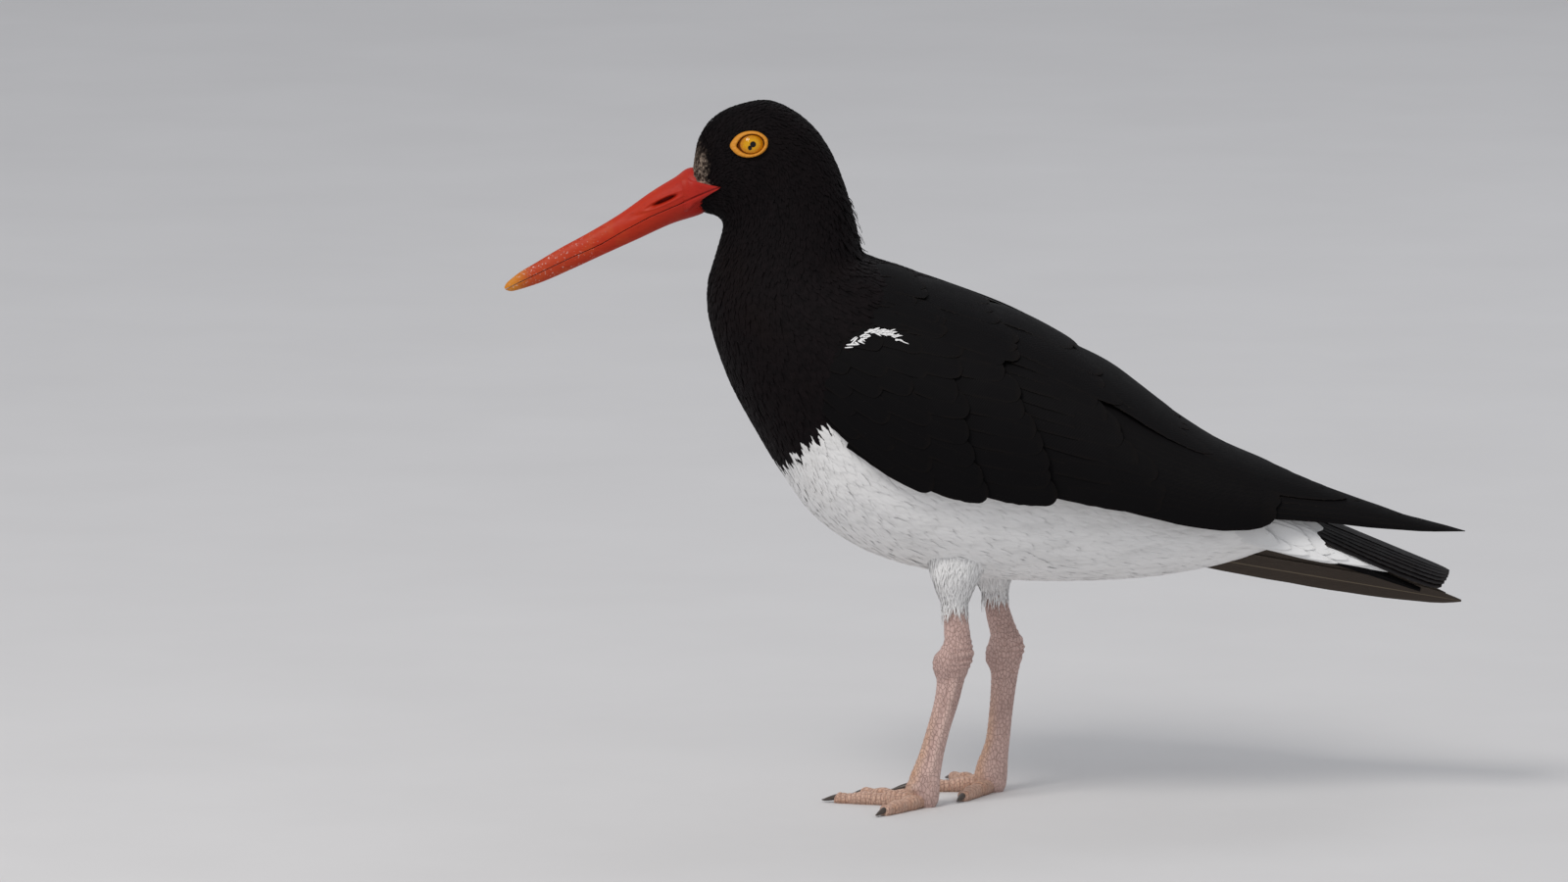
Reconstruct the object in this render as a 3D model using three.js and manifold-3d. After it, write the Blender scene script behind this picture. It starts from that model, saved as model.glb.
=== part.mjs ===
// A pied oystercatcher standing still, life size, as a museum model shows it.
// Millimetres, +Z up. The bird faces -X and its left side is -Y. The floor is z = 0.
// The body is one loft that thin cuts divide into head, neck and torso. The wings are laid on a
// second, wider loft that wraps the torso, and the torso is then cut out of them.
import * as THREE from "three";
import Module from "manifold-3d";

const wasm = await Module();
wasm.setup();

// Driving dimensions, in millimetres and degrees.
const GAP = 0.3;
const BODY_SIDES = 28;
const BODY_STEP = 0.5;
const NECK_STARTS = 7;
const TORSO_STARTS = 10;

// Stations of the body, bill root to tail root: x and z of the upper outline, x and z of the
// lower outline, and half the width between them.
const BODY = [
  [-99.0, 217.5, -96.5, 201.3, 6.8],
  [-97.0, 227.5, -93.4, 200.6, 9.2],
  [-92.0, 234.8, -91.0, 199.8, 12.4],
  [-83.0, 239.2, -89.4, 198.4, 15.0],
  [-72.0, 240.3, -88.9, 196.6, 16.2],
  [-60.5, 234.0, -89.4, 194.0, 16.4],
  [-52.5, 224.0, -90.8, 189.6, 17.2],
  [-47.0, 211.0, -92.6, 184.0, 19.4],
  [-43.3, 198.0, -94.6, 177.0, 22.6],
  [-41.0, 188.6, -94.6, 167.5, 26.4],
  [-37.0, 186.0, -91.6, 155.5, 30.4],
  [-31.0, 184.2, -86.4, 142.0, 34.6],
  [-23.0, 181.4, -78.8, 128.0, 37.8],
  [-14.0, 177.6, -69.4, 112.5, 39.6],
  [-3.0, 173.0, -57.5, 96.8, 40.4],
  [10.0, 166.5, -40.0, 85.5, 40.0],
  [25.0, 157.5, -17.0, 78.6, 38.2],
  [41.0, 146.5, 9.0, 75.6, 34.6],
  [57.0, 134.0, 34.0, 75.2, 29.2],
  [73.0, 121.5, 57.0, 76.6, 22.8],
  [88.0, 112.0, 79.0, 80.4, 16.4],
  [101.0, 105.6, 97.0, 86.0, 11.0],
  [110.0, 101.0, 109.0, 91.5, 6.6],
];
const BODY_FULLNESS = 2.25;

// Stations of the shape that both folded wings wrap, along x: top, bottom and half width.
const WRAP = [
  [-62, 185.0, 92.0, 33.0],
  [-48, 186.0, 88.0, 40.5],
  [-32, 184.4, 82.5, 43.4],
  [-14, 178.0, 78.5, 44.4],
  [10, 168.4, 76.0, 44.0],
  [40, 151.6, 75.5, 40.0],
  [60, 136.6, 76.5, 33.6],
  [78, 124.2, 79.0, 27.2],
  [97, 116.0, 84.0, 22.2],
  [115, 109.6, 87.4, 19.0],
  [135, 102.8, 89.0, 16.2],
  [152, 97.6, 90.0, 14.4],
  [168, 93.8, 88.8, 13.0],
];

// How the right wing's hand droops below the tail: it turns about the wrist and slides back.
const DROOP = {
  x: -50,
  z: 140,
  angle: 8.8,
  from: -45,
  to: 60,
  back: 9.5,
  lift: 4,
  out: 6,
  narrow: 0.6,
};

// The bill: x and z of the culmen, x and z of the lower edge, half width.
const BILL = [
  [-89.0, 214.5, -86.0, 205.5, 5.2],
  [-99.4, 217.0, -93.5, 202.6, 6.4],
  [-105.5, 213.5, -97.3, 200.7, 5.7],
  [-113.6, 208.5, -106.8, 197.6, 4.5],
  [-123.8, 201.2, -118.1, 192.4, 3.5],
  [-134.0, 195.0, -129.1, 187.4, 2.9],
  [-144.2, 189.4, -139.9, 182.4, 2.4],
  [-152.5, 184.4, -148.9, 178.4, 2.0],
  [-158.0, 181.1, -155.0, 176.2, 1.6],
  [-162.2, 177.7, -160.4, 174.7, 1.2],
  [-163.3, 175.9, -162.6, 175.0, 0.8],
];
const BILL_FULLNESS = 1.8;
const MOUTH_LINE = [
  [-80.0, 212.6],
  [-89.5, 211.7],
  [-92.2, 210.9],
  [-96.5, 208.6],
  [-104.6, 204.6],
  [-113.6, 200.6],
  [-122.2, 195.9],
  [-130.4, 191.0],
  [-141.6, 185.9],
  [-151.6, 181.0],
  [-158.4, 177.7],
  [-170.0, 171.6],
];
// The bare wedge at the corner of the mouth: x, middle height, half width, half thickness.
const GAPE = [
  [-86.0, 212.0, 10.0, 0.3],
  [-89.8, 211.7, 13.2, 0.35],
  [-92.4, 210.6, 11.2, 1.8],
  [-95.2, 209.5, 8.8, 3.6],
  [-97.7, 208.6, 7.0, 4.8],
  [-101.0, 207.5, 5.4, 4.4],
];
const NOSTRIL = { x: -108.6, z: 206.3, y: 5.6, long: 9.8, high: 1.5, deep: 2.6, tilt: 25 };

const EYE = { x: -79.4, y: 10.1, z: 225.7, radius: 5.8 };
const LID = {
  x: -79.4,
  z: 227.0,
  innerLong: 4.6,
  innerHigh: 3.5,
  outerLong: 6.6,
  outerHigh: 4.65,
  forward: 0.5,
  tilt: 8,
  raised: 0.9,
};

const TAIL = {
  feathers: 12,
  rootX: 96,
  rootZ: 101.5,
  tipX: 158.5,
  tipZ: 79.0,
  halfSpread: 12.5,
  rootSpread: 4.0,
  halfVane: 6.6,
  arch: 6.5,
  tipArch: 3.0,
  thick: 0.9,
  step: 0.32,
  notch: 3,
};

// Each leg from the belly to the foot: x, y, z, half depth along x, half width along y.
const LEFT_LEG = {
  side: "left",
  thigh: [
    [-9.0, -19.0, 92.0, 15.0, 11.0],
    [-10.4, -19.4, 80.0, 10.4, 8.2],
    [-10.8, -19.2, 73.0, 5.9, 5.6],
    [-10.2, -18.8, 68.0, 4.5, 4.4],
    [-9.9, -18.6, 64.0, 3.6, 3.4],
  ],
  shank: [
    [-9.9, -18.6, 63.7, 3.5, 2.9],
    [-9.4, -18.4, 58.5, 4.2, 3.2],
    [-9.9, -18.2, 55.0, 5.4, 3.9],
    [-10.9, -18.0, 51.2, 6.6, 4.4],
    [-11.2, -17.9, 47.6, 5.9, 4.1],
    [-11.6, -17.8, 43.4, 4.7, 3.2],
    [-13.0, -17.6, 36.0, 4.2, 2.7],
    [-15.6, -17.4, 27.0, 4.0, 2.6],
    [-17.8, -17.2, 19.0, 4.2, 2.8],
    [-19.2, -17.1, 14.0, 4.7, 3.3],
    [-20.2, -17.0, 10.4, 5.2, 3.9],
  ],
  foot: [-20.8, -17.0, 5.6],
  toes: [
    { name: "middle", to: [-51.0, -8.5] },
    { name: "outer", to: [-34.6, -37.0] },
    { name: "inner", to: [-41.5, 3.5] },
  ],
};
const RIGHT_LEG = {
  side: "right",
  thigh: [
    [3.0, 17.0, 92.0, 15.0, 11.0],
    [2.4, 17.4, 78.0, 10.0, 8.2],
    [2.8, 17.2, 69.6, 5.4, 5.4],
    [3.6, 17.0, 65.0, 4.5, 4.4],
    [4.6, 16.8, 61.4, 3.7, 3.4],
  ],
  shank: [
    [4.7, 16.8, 61.1, 3.7, 2.9],
    [6.4, 16.6, 56.5, 4.4, 3.2],
    [7.2, 16.4, 52.8, 5.6, 3.9],
    [7.2, 16.2, 49.0, 6.4, 4.4],
    [7.1, 16.1, 45.2, 5.8, 4.1],
    [7.2, 16.0, 41.0, 4.7, 3.2],
    [6.6, 16.0, 34.0, 4.2, 2.7],
    [5.8, 16.0, 26.0, 4.0, 2.6],
    [5.0, 16.0, 18.5, 4.1, 2.8],
    [4.0, 16.0, 13.6, 4.6, 3.3],
    [3.2, 16.0, 10.2, 5.2, 3.9],
  ],
  foot: [2.6, 16.0, 5.6],
  toes: [
    { name: "middle", to: [-27.0, 15.0] },
    { name: "outer", to: [-10.5, 37.5] },
    { name: "inner", to: [-7.5, -6.5] },
  ],
};
const TOE = { palm: 13, sides: 10, baseHalf: 3.0, tipHalf: 2.1, baseHigh: 5.2, tipHigh: 3.4 };
const CLAW = { long: 4.6, half: 1.3, high: 2.1, lift: 0.3 };

const COLOURS = {
  black: [0x141213, 0.62],
  mixed: [0x9a9a98, 0.7],
  bill: [0xc8371e, 0.38],
  iris: [0xe0a018, 0.15],
  lid: [0xe8902a, 0.5],
  leg: [0xcfa091, 0.55],
  claw: [0x3a3230, 0.45],
};

const radians = THREE.MathUtils.degToRad;
const point = (x, y, z) => new THREE.Vector3(x, y, z);
const mix = (a, b, t) => a + (b - a) * t;
const smooth = (t) => {
  const s = Math.min(Math.max(t, 0), 1);
  return s * s * (3 - 2 * s);
};

// A smooth curve through rows whose first number is the position along it.
function along(rows, at) {
  const last = rows.length - 1;
  let i = 0;
  while (i < last - 1 && (rows[i + 1][0] - at) * (rows[last][0] - rows[0][0]) < 0) i++;
  const [before, from, to, after] = [i - 1, i, i + 1, i + 2].map(
    (n) => rows[Math.min(Math.max(n, 0), last)],
  );
  const span = to[0] - from[0];
  const f = (at - from[0]) / span;
  return from.slice(1).map((value, n) => {
    const k = n + 1;
    const slopeIn = ((to[k] - before[k]) / (to[0] - before[0])) * span;
    const slopeOut = ((after[k] - from[k]) / (after[0] - from[0])) * span;
    return (
      value * (2 * f ** 3 - 3 * f ** 2 + 1) +
      slopeIn * (f ** 3 - 2 * f ** 2 + f) +
      to[k] * (3 * f ** 2 - 2 * f ** 3) +
      slopeOut * (f ** 3 - f ** 2)
    );
  });
}

const numbered = (rows) => rows.map((row, n) => [n, ...row]);
const BODY_ROWS = numbered(BODY);
const BILL_ROWS = numbered(BILL);

// A closed solid from corner positions and triangles, with its faces turned outwards.
function solid(corners, faces) {
  const make = (list) =>
    new wasm.Manifold(
      new wasm.Mesh({
        numProp: 3,
        vertProperties: new Float32Array(corners.flatMap((p) => [p.x, p.y, p.z])),
        triVerts: new Uint32Array(list.flat()),
      }),
    );
  const made = make(faces);
  return made.volume() < 0 ? make(faces.map(([a, b, c]) => [a, c, b])) : made;
}

// Rings of equally many points, joined one to the next. Each end is closed by a strip that runs
// between the first and the second half of its ring.
function loft(rings) {
  const sides = rings[0].length;
  const faces = [];
  for (let r = 0; r < rings.length - 1; r++) {
    for (let s = 0; s < sides; s++) {
      const a = r * sides + s;
      const b = r * sides + ((s + 1) % sides);
      faces.push([a, b, a + sides], [b, b + sides, a + sides]);
    }
  }
  const end = (rings.length - 1) * sides;
  for (let s = 0; s < sides / 2 - 1; s++) {
    const [a, b, c, d] = [s, s + 1, sides - 2 - s, sides - 1 - s];
    faces.push([b, a, c], [a, d, c]);
    faces.push([end + a, end + b, end + c], [end + d, end + a, end + c]);
  }
  return solid(rings.flat(), faces);
}

const joined = (solids) => wasm.Manifold.union(solids);
const largest = (made) => made.decompose().reduce((a, b) => (b.volume() > a.volume() ? b : a));

// A superellipse: how far along its two half axes the point at an angle lies.
function superellipse(angle, fullness) {
  const power = 2 / fullness;
  const bend = (v) => Math.sign(v) * Math.abs(v) ** power;
  return [bend(Math.cos(angle)), bend(Math.sin(angle))];
}

// A ring between an upper and a lower outline point, square to the bird's middle plane.
function outlineRing(rows, at, fullness, sides, grow = 0, shift = 0) {
  const [topX, topZ, lowX, lowZ, half] = along(rows, at);
  const up = point(topX - lowX, 0, topZ - lowZ).divideScalar(2);
  const centre = point(topX + lowX, 0, topZ + lowZ).divideScalar(2);
  const normal = point(up.z, 0, -up.x).normalize();
  const reach = (up.length() + grow) / up.length();
  return Array.from({ length: sides }, (_, s) => {
    const [c, w] = superellipse((2 * Math.PI * s) / sides, fullness);
    return centre
      .clone()
      .addScaledVector(up, c * reach)
      .addScaledVector(normal, shift)
      .add(point(0, -w * (half + grow), 0));
  });
}

// A length of the body between two stations, pulled in at each end where it meets the next.
function bodyLength(from, to, pullFrom, pullTo, grow = 0) {
  const count = Math.round((to - from) / BODY_STEP);
  const rings = Array.from({ length: count + 1 }, (_, n) => {
    const shift = n === 0 ? pullFrom : n === count ? -pullTo : 0;
    return outlineRing(BODY_ROWS, mix(from, to, n / count), BODY_FULLNESS, BODY_SIDES, grow, shift);
  });
  return loft(rings);
}

// The body's half width at a point of its side view.
function bodyHalfWidth(x, z) {
  const side = (t) => {
    const [topX, topZ, lowX, lowZ] = along(BODY_ROWS, t);
    return (topX - lowX) * (z - lowZ) - (topZ - lowZ) * (x - lowX);
  };
  let [low, high] = [0, BODY.length - 1];
  for (let n = 0; n < 40; n++) {
    const middle = (low + high) / 2;
    if (side(middle) > 0 === side(0) > 0) low = middle;
    else high = middle;
  }
  const [topX, topZ, lowX, lowZ, half] = along(BODY_ROWS, low);
  const reach = Math.hypot(topX - lowX, topZ - lowZ) / 2;
  const off = Math.hypot(x - (topX + lowX) / 2, z - (topZ + lowZ) / 2) / reach;
  return half * (1 - Math.min(off, 1) ** BODY_FULLNESS) ** (1 / BODY_FULLNESS);
}

// Bill: a loft along its length with the wedge of bare skin that runs back into the face.
function bill(grow = 0) {
  const rings = [];
  for (let t = 0; t <= BILL.length - 1; t += 0.5) {
    rings.push(outlineRing(BILL_ROWS, t, BILL_FULLNESS, 16, grow));
  }
  const gape = GAPE.map(([x, z, half, thick]) =>
    Array.from({ length: 12 }, (_, s) => {
      const [c, w] = superellipse((2 * Math.PI * s) / 12, 5);
      return point(x, -w * (half + grow), z + c * (thick + grow));
    }),
  );
  return joined([loft(rings), loft(gape)]);
}

// Everything above the mouth line, moved up by an offset, as one broad block.
function aboveMouth(offset) {
  const outline = new THREE.Shape(MOUTH_LINE.map(([x, z]) => new THREE.Vector2(x, z + offset)));
  outline.lineTo(-170, 260);
  outline.lineTo(-80, 260);
  const geometry = new THREE.ExtrudeGeometry(outline, { depth: 60, bevelEnabled: false });
  geometry.rotateX(Math.PI / 2).translate(0, 30, 0);
  return fromGeometry(geometry);
}

function fromGeometry(geometry) {
  const seen = new Map();
  const corners = [];
  const place = geometry.getAttribute("position");
  const ids = Array.from({ length: place.count }, (_, n) => {
    const p = new THREE.Vector3().fromBufferAttribute(place, n);
    const key = [p.x, p.y, p.z].map((v) => v.toFixed(4)).join();
    if (!seen.has(key)) seen.set(key, corners.push(p) - 1);
    return seen.get(key);
  });
  const order = geometry.index ? Array.from(geometry.index.array) : ids.map((_, n) => n);
  const faces = [];
  for (let n = 0; n < order.length; n += 3) {
    const face = order.slice(n, n + 3).map((k) => ids[k]);
    if (new Set(face).size === 3) faces.push(face);
  }
  return solid(corners, faces);
}

function nostril(sign) {
  const slot = new THREE.SphereGeometry(0.5, 12, 8);
  slot.scale(NOSTRIL.long, NOSTRIL.deep, NOSTRIL.high);
  slot.rotateY(-radians(NOSTRIL.tilt)).translate(NOSTRIL.x, sign * NOSTRIL.y, NOSTRIL.z);
  return fromGeometry(slot);
}

// Eye: a ball set in the head, and the raised fleshy ring round it.
function eyeBall(sign, grow = 0) {
  const ball = new THREE.SphereGeometry(EYE.radius + grow, 18, 10);
  ball.translate(EYE.x, sign * EYE.y, EYE.z);
  return fromGeometry(ball);
}

function lidRing(sign, grow = 0) {
  const sides = 20;
  const [c, s] = [Math.cos(radians(LID.tilt)), Math.sin(radians(LID.tilt))];
  const rings = Array.from({ length: sides }, (_, n) => {
    const angle = (2 * Math.PI * n) / sides;
    const at = (share, out) => {
      const long = mix(LID.innerLong - grow, LID.outerLong + grow, share) * Math.cos(angle);
      const high = mix(LID.innerHigh - grow, LID.outerHigh + grow, share) * Math.sin(angle);
      const ahead = long - LID.forward * share;
      const x = LID.x + ahead * c - high * s;
      const z = LID.z + ahead * s + high * c;
      return point(x, sign * (bodyHalfWidth(x, z) + out), z);
    };
    return [
      at(0, -2.4 - grow),
      at(0.06, LID.raised * 0.3 + grow),
      at(0.5, LID.raised + grow),
      at(0.94, 0.25 + grow),
      at(1, -1.2 - grow),
    ];
  });
  const count = rings[0].length;
  const faces = [];
  rings.forEach((_, r) => {
    const next = (r + 1) % sides;
    for (let s = 0; s < count; s++) {
      const t = (s + 1) % count;
      faces.push([r * count + s, r * count + t, next * count + s]);
      faces.push([r * count + t, next * count + t, next * count + s]);
    }
  });
  return solid(rings.flat(), faces);
}

// A point of the folded wing's surface: x along the bird, degrees down from the middle of the
// back, raised by lift. Side -1 is left and 1 is right; drooped is how far the hand hangs.
function wrapPoint(x, degrees, lift, side, drooped) {
  const [top, bottom, half] = along(WRAP, x);
  const bunched = drooped * DROOP.narrow * smooth((x - 50) / 50);
  const angle = radians(degrees + bunched * Math.max(75 - degrees, 0));
  const high = (top - bottom) / 2;
  const out = point(0, Math.sin(angle) * high, Math.cos(angle) * half).normalize();
  const p = point(x, Math.sin(angle) * half, (top + bottom) / 2 + Math.cos(angle) * high);
  p.addScaledVector(out, lift);
  if (drooped) {
    const share = drooped * smooth((x - DROOP.from) / (DROOP.to - DROOP.from));
    const turn = radians(DROOP.angle) * share;
    const [dx, dz] = [p.x - DROOP.x, p.z - DROOP.z];
    p.x = DROOP.x + dx * Math.cos(turn) + dz * Math.sin(turn) + DROOP.back * share;
    p.z = DROOP.z + dz * Math.cos(turn) - dx * Math.sin(turn) + DROOP.lift * share;
    p.y += DROOP.out * drooped * smooth((x - 40) / 50);
  }
  p.y *= side;
  return p;
}

// The wing's core: x, upper and lower edge in degrees, and depth under the surface.
const CORE = [
  [-56, 58, 84, 3],
  [-50, 40, 94, 9],
  [-40, 24, 99, 13],
  [-30, 17, 103, 15],
  [-17, 14, 107, 16],
  [0, 12, 105, 16],
  [20, 11, 103, 15],
  [40, 10, 99, 13],
  [60, 9, 92, 10],
  [80, 9, 92, 7],
  [97, 10, 88, 4.2],
  [115, 16, 84, 2.8],
  [135, 24, 76, 2.2],
  [150, 40, 68, 1.6],
];

// Rows of overlapping feathers, lowest feather first: how many, then x and degrees of the first
// and the last root, x and degrees of the first and the last tip, half width, lift of the tip,
// and the outline. Within a row each feather's upper edge dips under the next one up.
const ROWS = {
  primaries: [7, [52, 86], [70, 40], [163.3, 62], [117, 27], 4.4, 0.7, 1.3, "pointed"],
  secondaries: [6, [4, 100], [30, 56], [95.5, 86], [101, 48], 6.6, 1.3, 3.4, "long"],
  tertials: [3, [34, 44], [28, 22], [128, 40], [106, 20], 8.6, 2.0, 3.4, "long"],
  greater: [6, [18, 98], [8, 50], [62, 90], [50, 46], 7.8, 1.9, 4.5, "round"],
  median: [6, [-16, 100], [-22, 46], [25, 97], [12, 42], 8.4, 1.6, 4.5, "round"],
};
const OUTLINES = {
  pointed: [
    [0, 0.8],
    [0.4, 1],
    [0.78, 0.9],
    [0.94, 0.5],
    [1, 0.14],
  ],
  long: [
    [0, 0.8],
    [0.35, 1],
    [0.7, 1],
    [0.92, 0.82],
    [1, 0.34],
  ],
  round: [
    [0, 0.7],
    [0.5, 1],
    [0.86, 0.9],
    [1, 0.4],
  ],
};
const VANE = { tilt: 1.0, sunk: 1.2 };

function wingCore(side, drooped) {
  const across = 8;
  const rings = [];
  for (let t = 0; t <= CORE.length - 1; t++) {
    const [x, upper, lower, depth] = along(numbered(CORE), t);
    const outer = Array.from({ length: across }, (_, n) =>
      wrapPoint(x, mix(upper, lower, n / (across - 1)), 0, side, drooped),
    );
    const inner = Array.from({ length: across }, (_, n) =>
      wrapPoint(x, mix(lower, upper, n / (across - 1)), -depth, side, drooped),
    );
    rings.push([...outer, ...inner]);
  }
  return loft(rings);
}

// A feather vane: a closed strip of flat six-sided sections, each given by three upper points.
function strip(sections) {
  return loft(
    sections.map(({ points, down, thick }) => [
      ...points,
      ...points.map((p, n) => p.clone().addScaledVector(down, n === 1 ? thick : thick * 0.7)).reverse(),
    ]),
  );
}

function wingVane(from, to, half, lift, thick, outline, side, drooped) {
  const sections = OUTLINES[outline].map(([u, share]) => {
    const x = mix(from[0], to[0], u);
    const degrees = mix(from[1], to[1], u);
    const [top, bottom, wide] = along(WRAP, x);
    const angle = radians(degrees);
    const round = Math.hypot(Math.cos(angle) * wide, (Math.sin(angle) * (top - bottom)) / 2);
    const run = [to[0] - from[0], round * radians(to[1] - from[1])];
    const length = Math.hypot(...run);
    const high = mix(-VANE.sunk, lift, smooth(1.6 * u));
    const at = (s, drop) => {
      const off = (s * share * half) / length;
      const turn = THREE.MathUtils.radToDeg((off * run[0]) / round);
      const raised = high + (VANE.tilt / 2) * s - drop;
      return wrapPoint(x - off * run[1], degrees + turn, raised, side, drooped);
    };
    const points = [-1, 0, 1].map((s) => at(s, 0));
    const down = at(0, 1).sub(points[1]);
    return { points, down, thick: mix(thick, 0.6, u ** 8) };
  });
  return strip(sections);
}

function wing(side, drooped) {
  const vanes = [];
  for (const [count, firstRoot, lastRoot, firstTip, lastTip, ...shape] of Object.values(ROWS)) {
    for (let n = 0; n < count; n++) {
      const t = n / (count - 1);
      const from = [0, 1].map((k) => mix(firstRoot[k], lastRoot[k], t));
      const to = [0, 1].map((k) => mix(firstTip[k], lastTip[k], t));
      vanes.push(wingVane(from, to, ...shape, side, drooped));
    }
  }
  return joined([wingCore(side, drooped), ...vanes]);
}

// Tail: twelve vanes fanned over a low arch, the middle pair on top.
function tail() {
  const vanes = Array.from({ length: TAIL.feathers }, (_, k) => {
    const s = mix(-1, 1, k / (TAIL.feathers - 1));
    const layer = (Math.abs(s) * (TAIL.feathers / 2) + (s > 0 ? 0.5 : 0)) * TAIL.step;
    const sections = OUTLINES.long.map(([t, share]) => {
      const spread = mix(TAIL.rootSpread, TAIL.halfSpread, Math.sqrt(t));
      const arch = mix(TAIL.arch, TAIL.tipArch, t);
      const centre = spread * s;
      const x = mix(TAIL.rootX, TAIL.tipX - TAIL.notch * s * s, t);
      const z = mix(TAIL.rootZ, TAIL.tipZ, t) - layer * mix(0.3, 1, t);
      const points = [-1, 0, 1].map((edge) => {
        const y = centre + edge * share * TAIL.halfVane;
        return point(x, y, z - arch * (y / (TAIL.halfSpread + TAIL.halfVane)) ** 2);
      });
      return { points, down: point(0, 0, -1), thick: TAIL.thick };
    });
    return strip(sections);
  });
  return joined(vanes);
}

function limb(rows, sides, grow = 0) {
  return loft(
    rows.map(([x, y, z, depth, width]) =>
      Array.from({ length: sides }, (_, s) => {
        const angle = (2 * Math.PI * s) / sides;
        return point(x + Math.cos(angle) * (depth + grow), y + Math.sin(angle) * (width + grow), z);
      }),
    ),
  );
}

// A toe lies on the floor: half an ellipse over a flat sole, swollen at each joint.
function toe(foot, to) {
  const [fromX, fromY] = foot;
  const length = Math.hypot(to[0] - fromX, to[1] - fromY);
  const ahead = point((to[0] - fromX) / length, (to[1] - fromY) / length, 0);
  const across = point(-ahead.y, ahead.x, 0);
  const steps = 8;
  const rings = Array.from({ length: steps + 1 }, (_, n) => {
    const t = n / steps;
    const swell = 1 + 0.1 * Math.cos(t * Math.PI * 6);
    const end = n === steps ? 0.62 : 1;
    const half = mix(TOE.baseHalf, TOE.tipHalf, t) * swell * end;
    const high = mix(TOE.baseHigh, TOE.tipHigh, t) * swell * end;
    const centre = point(fromX, fromY, 0).addScaledVector(ahead, t * length);
    return Array.from({ length: TOE.sides }, (_, s) => {
      const angle = (2 * Math.PI * (s + 0.5)) / TOE.sides;
      const [c, w] = superellipse(angle, 2.4);
      const z = Math.max((high / 2) * (1 + c), 0);
      return centre.clone().addScaledVector(across, w * half).add(point(0, 0, c < -0.6 ? 0 : z));
    });
  });
  return { solid: loft(rings), ahead, across, end: point(to[0], to[1], 0) };
}

function claw({ ahead, across, end }) {
  const steps = 4;
  const rings = Array.from({ length: steps + 1 }, (_, n) => {
    const t = n / steps;
    const size = Math.cos((t * Math.PI) / 2.25);
    const centre = end.clone().addScaledVector(ahead, -1.6 + t * (CLAW.long + 1.6));
    centre.z = CLAW.lift + 0.5 * CLAW.high * (1 + 0.5 * (1 - t) * (1 - t));
    return Array.from({ length: 8 }, (_, s) => {
      const angle = (2 * Math.PI * s) / 8;
      return centre
        .clone()
        .addScaledVector(across, Math.sin(angle) * CLAW.half * size)
        .add(point(0, 0, Math.cos(angle) * 0.5 * CLAW.high * size));
    });
  });
  return loft(rings);
}

const bird = new THREE.Group();

function addNode(name, made, [colour, roughness]) {
  const mesh = made.getMesh();
  const corners = new Float32Array(mesh.numVert * 3);
  for (let n = 0; n < mesh.numVert; n++) {
    corners.set(mesh.vertProperties.subarray(n * mesh.numProp, n * mesh.numProp + 3), n * 3);
  }
  const geometry = new THREE.BufferGeometry();
  geometry.setAttribute("position", new THREE.BufferAttribute(corners, 3));
  geometry.setIndex(new THREE.BufferAttribute(mesh.triVerts, 1));
  geometry.computeVertexNormals();
  const node = new THREE.Mesh(geometry, new THREE.MeshStandardMaterial({ color: colour, roughness, metalness: 0 }));
  node.name = name;
  bird.add(node);
}

// Head, with sockets for the bill and the eyes.
const END = BODY.length - 1;
const eyeCuts = [-1, 1].flatMap((sign) => [eyeBall(sign, GAP), lidRing(sign, GAP)]);
const head = [bill(GAP), ...eyeCuts].reduce(
  (made, cut) => made.subtract(cut),
  bodyLength(0, NECK_STARTS, 0, 0),
);
addNode("head", largest(head), COLOURS.black);
addNode("neck", bodyLength(NECK_STARTS, TORSO_STARTS, GAP, 0), COLOURS.black);

// Bill, parted along the mouth line.
const wholeBill = [-1, 1].reduce((made, sign) => made.subtract(nostril(sign)), bill());
addNode("bill_upper", largest(wholeBill.intersect(aboveMouth(GAP / 2))), COLOURS.bill);
addNode("bill_lower", largest(wholeBill.subtract(aboveMouth(-GAP / 2))), COLOURS.bill);

for (const [sign, side] of [
  [-1, "left"],
  [1, "right"],
]) {
  addNode("eye_" + side, eyeBall(sign), COLOURS.iris);
  addNode("eyelid_" + side, largest(lidRing(sign).subtract(eyeBall(sign, GAP))), COLOURS.lid);
}

// Torso, with the tail's root let into its end.
const tailSolid = tail();
const grownBody = bodyLength(0, END, 0, 0, GAP);
const torso = bodyLength(TORSO_STARTS, END, GAP, 0);
addNode("torso", torso, COLOURS.mixed);
addNode("tail", largest(tailSolid.subtract(grownBody)), COLOURS.black);

// Wings, the left one folded high and the right one with its hand drooped below the tail.
for (const [sign, side, drooped] of [
  [-1, "left", 0],
  [1, "right", 1],
]) {
  addNode("wing_" + side, largest(wing(sign, drooped).subtract(grownBody)), COLOURS.black);
}

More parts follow.
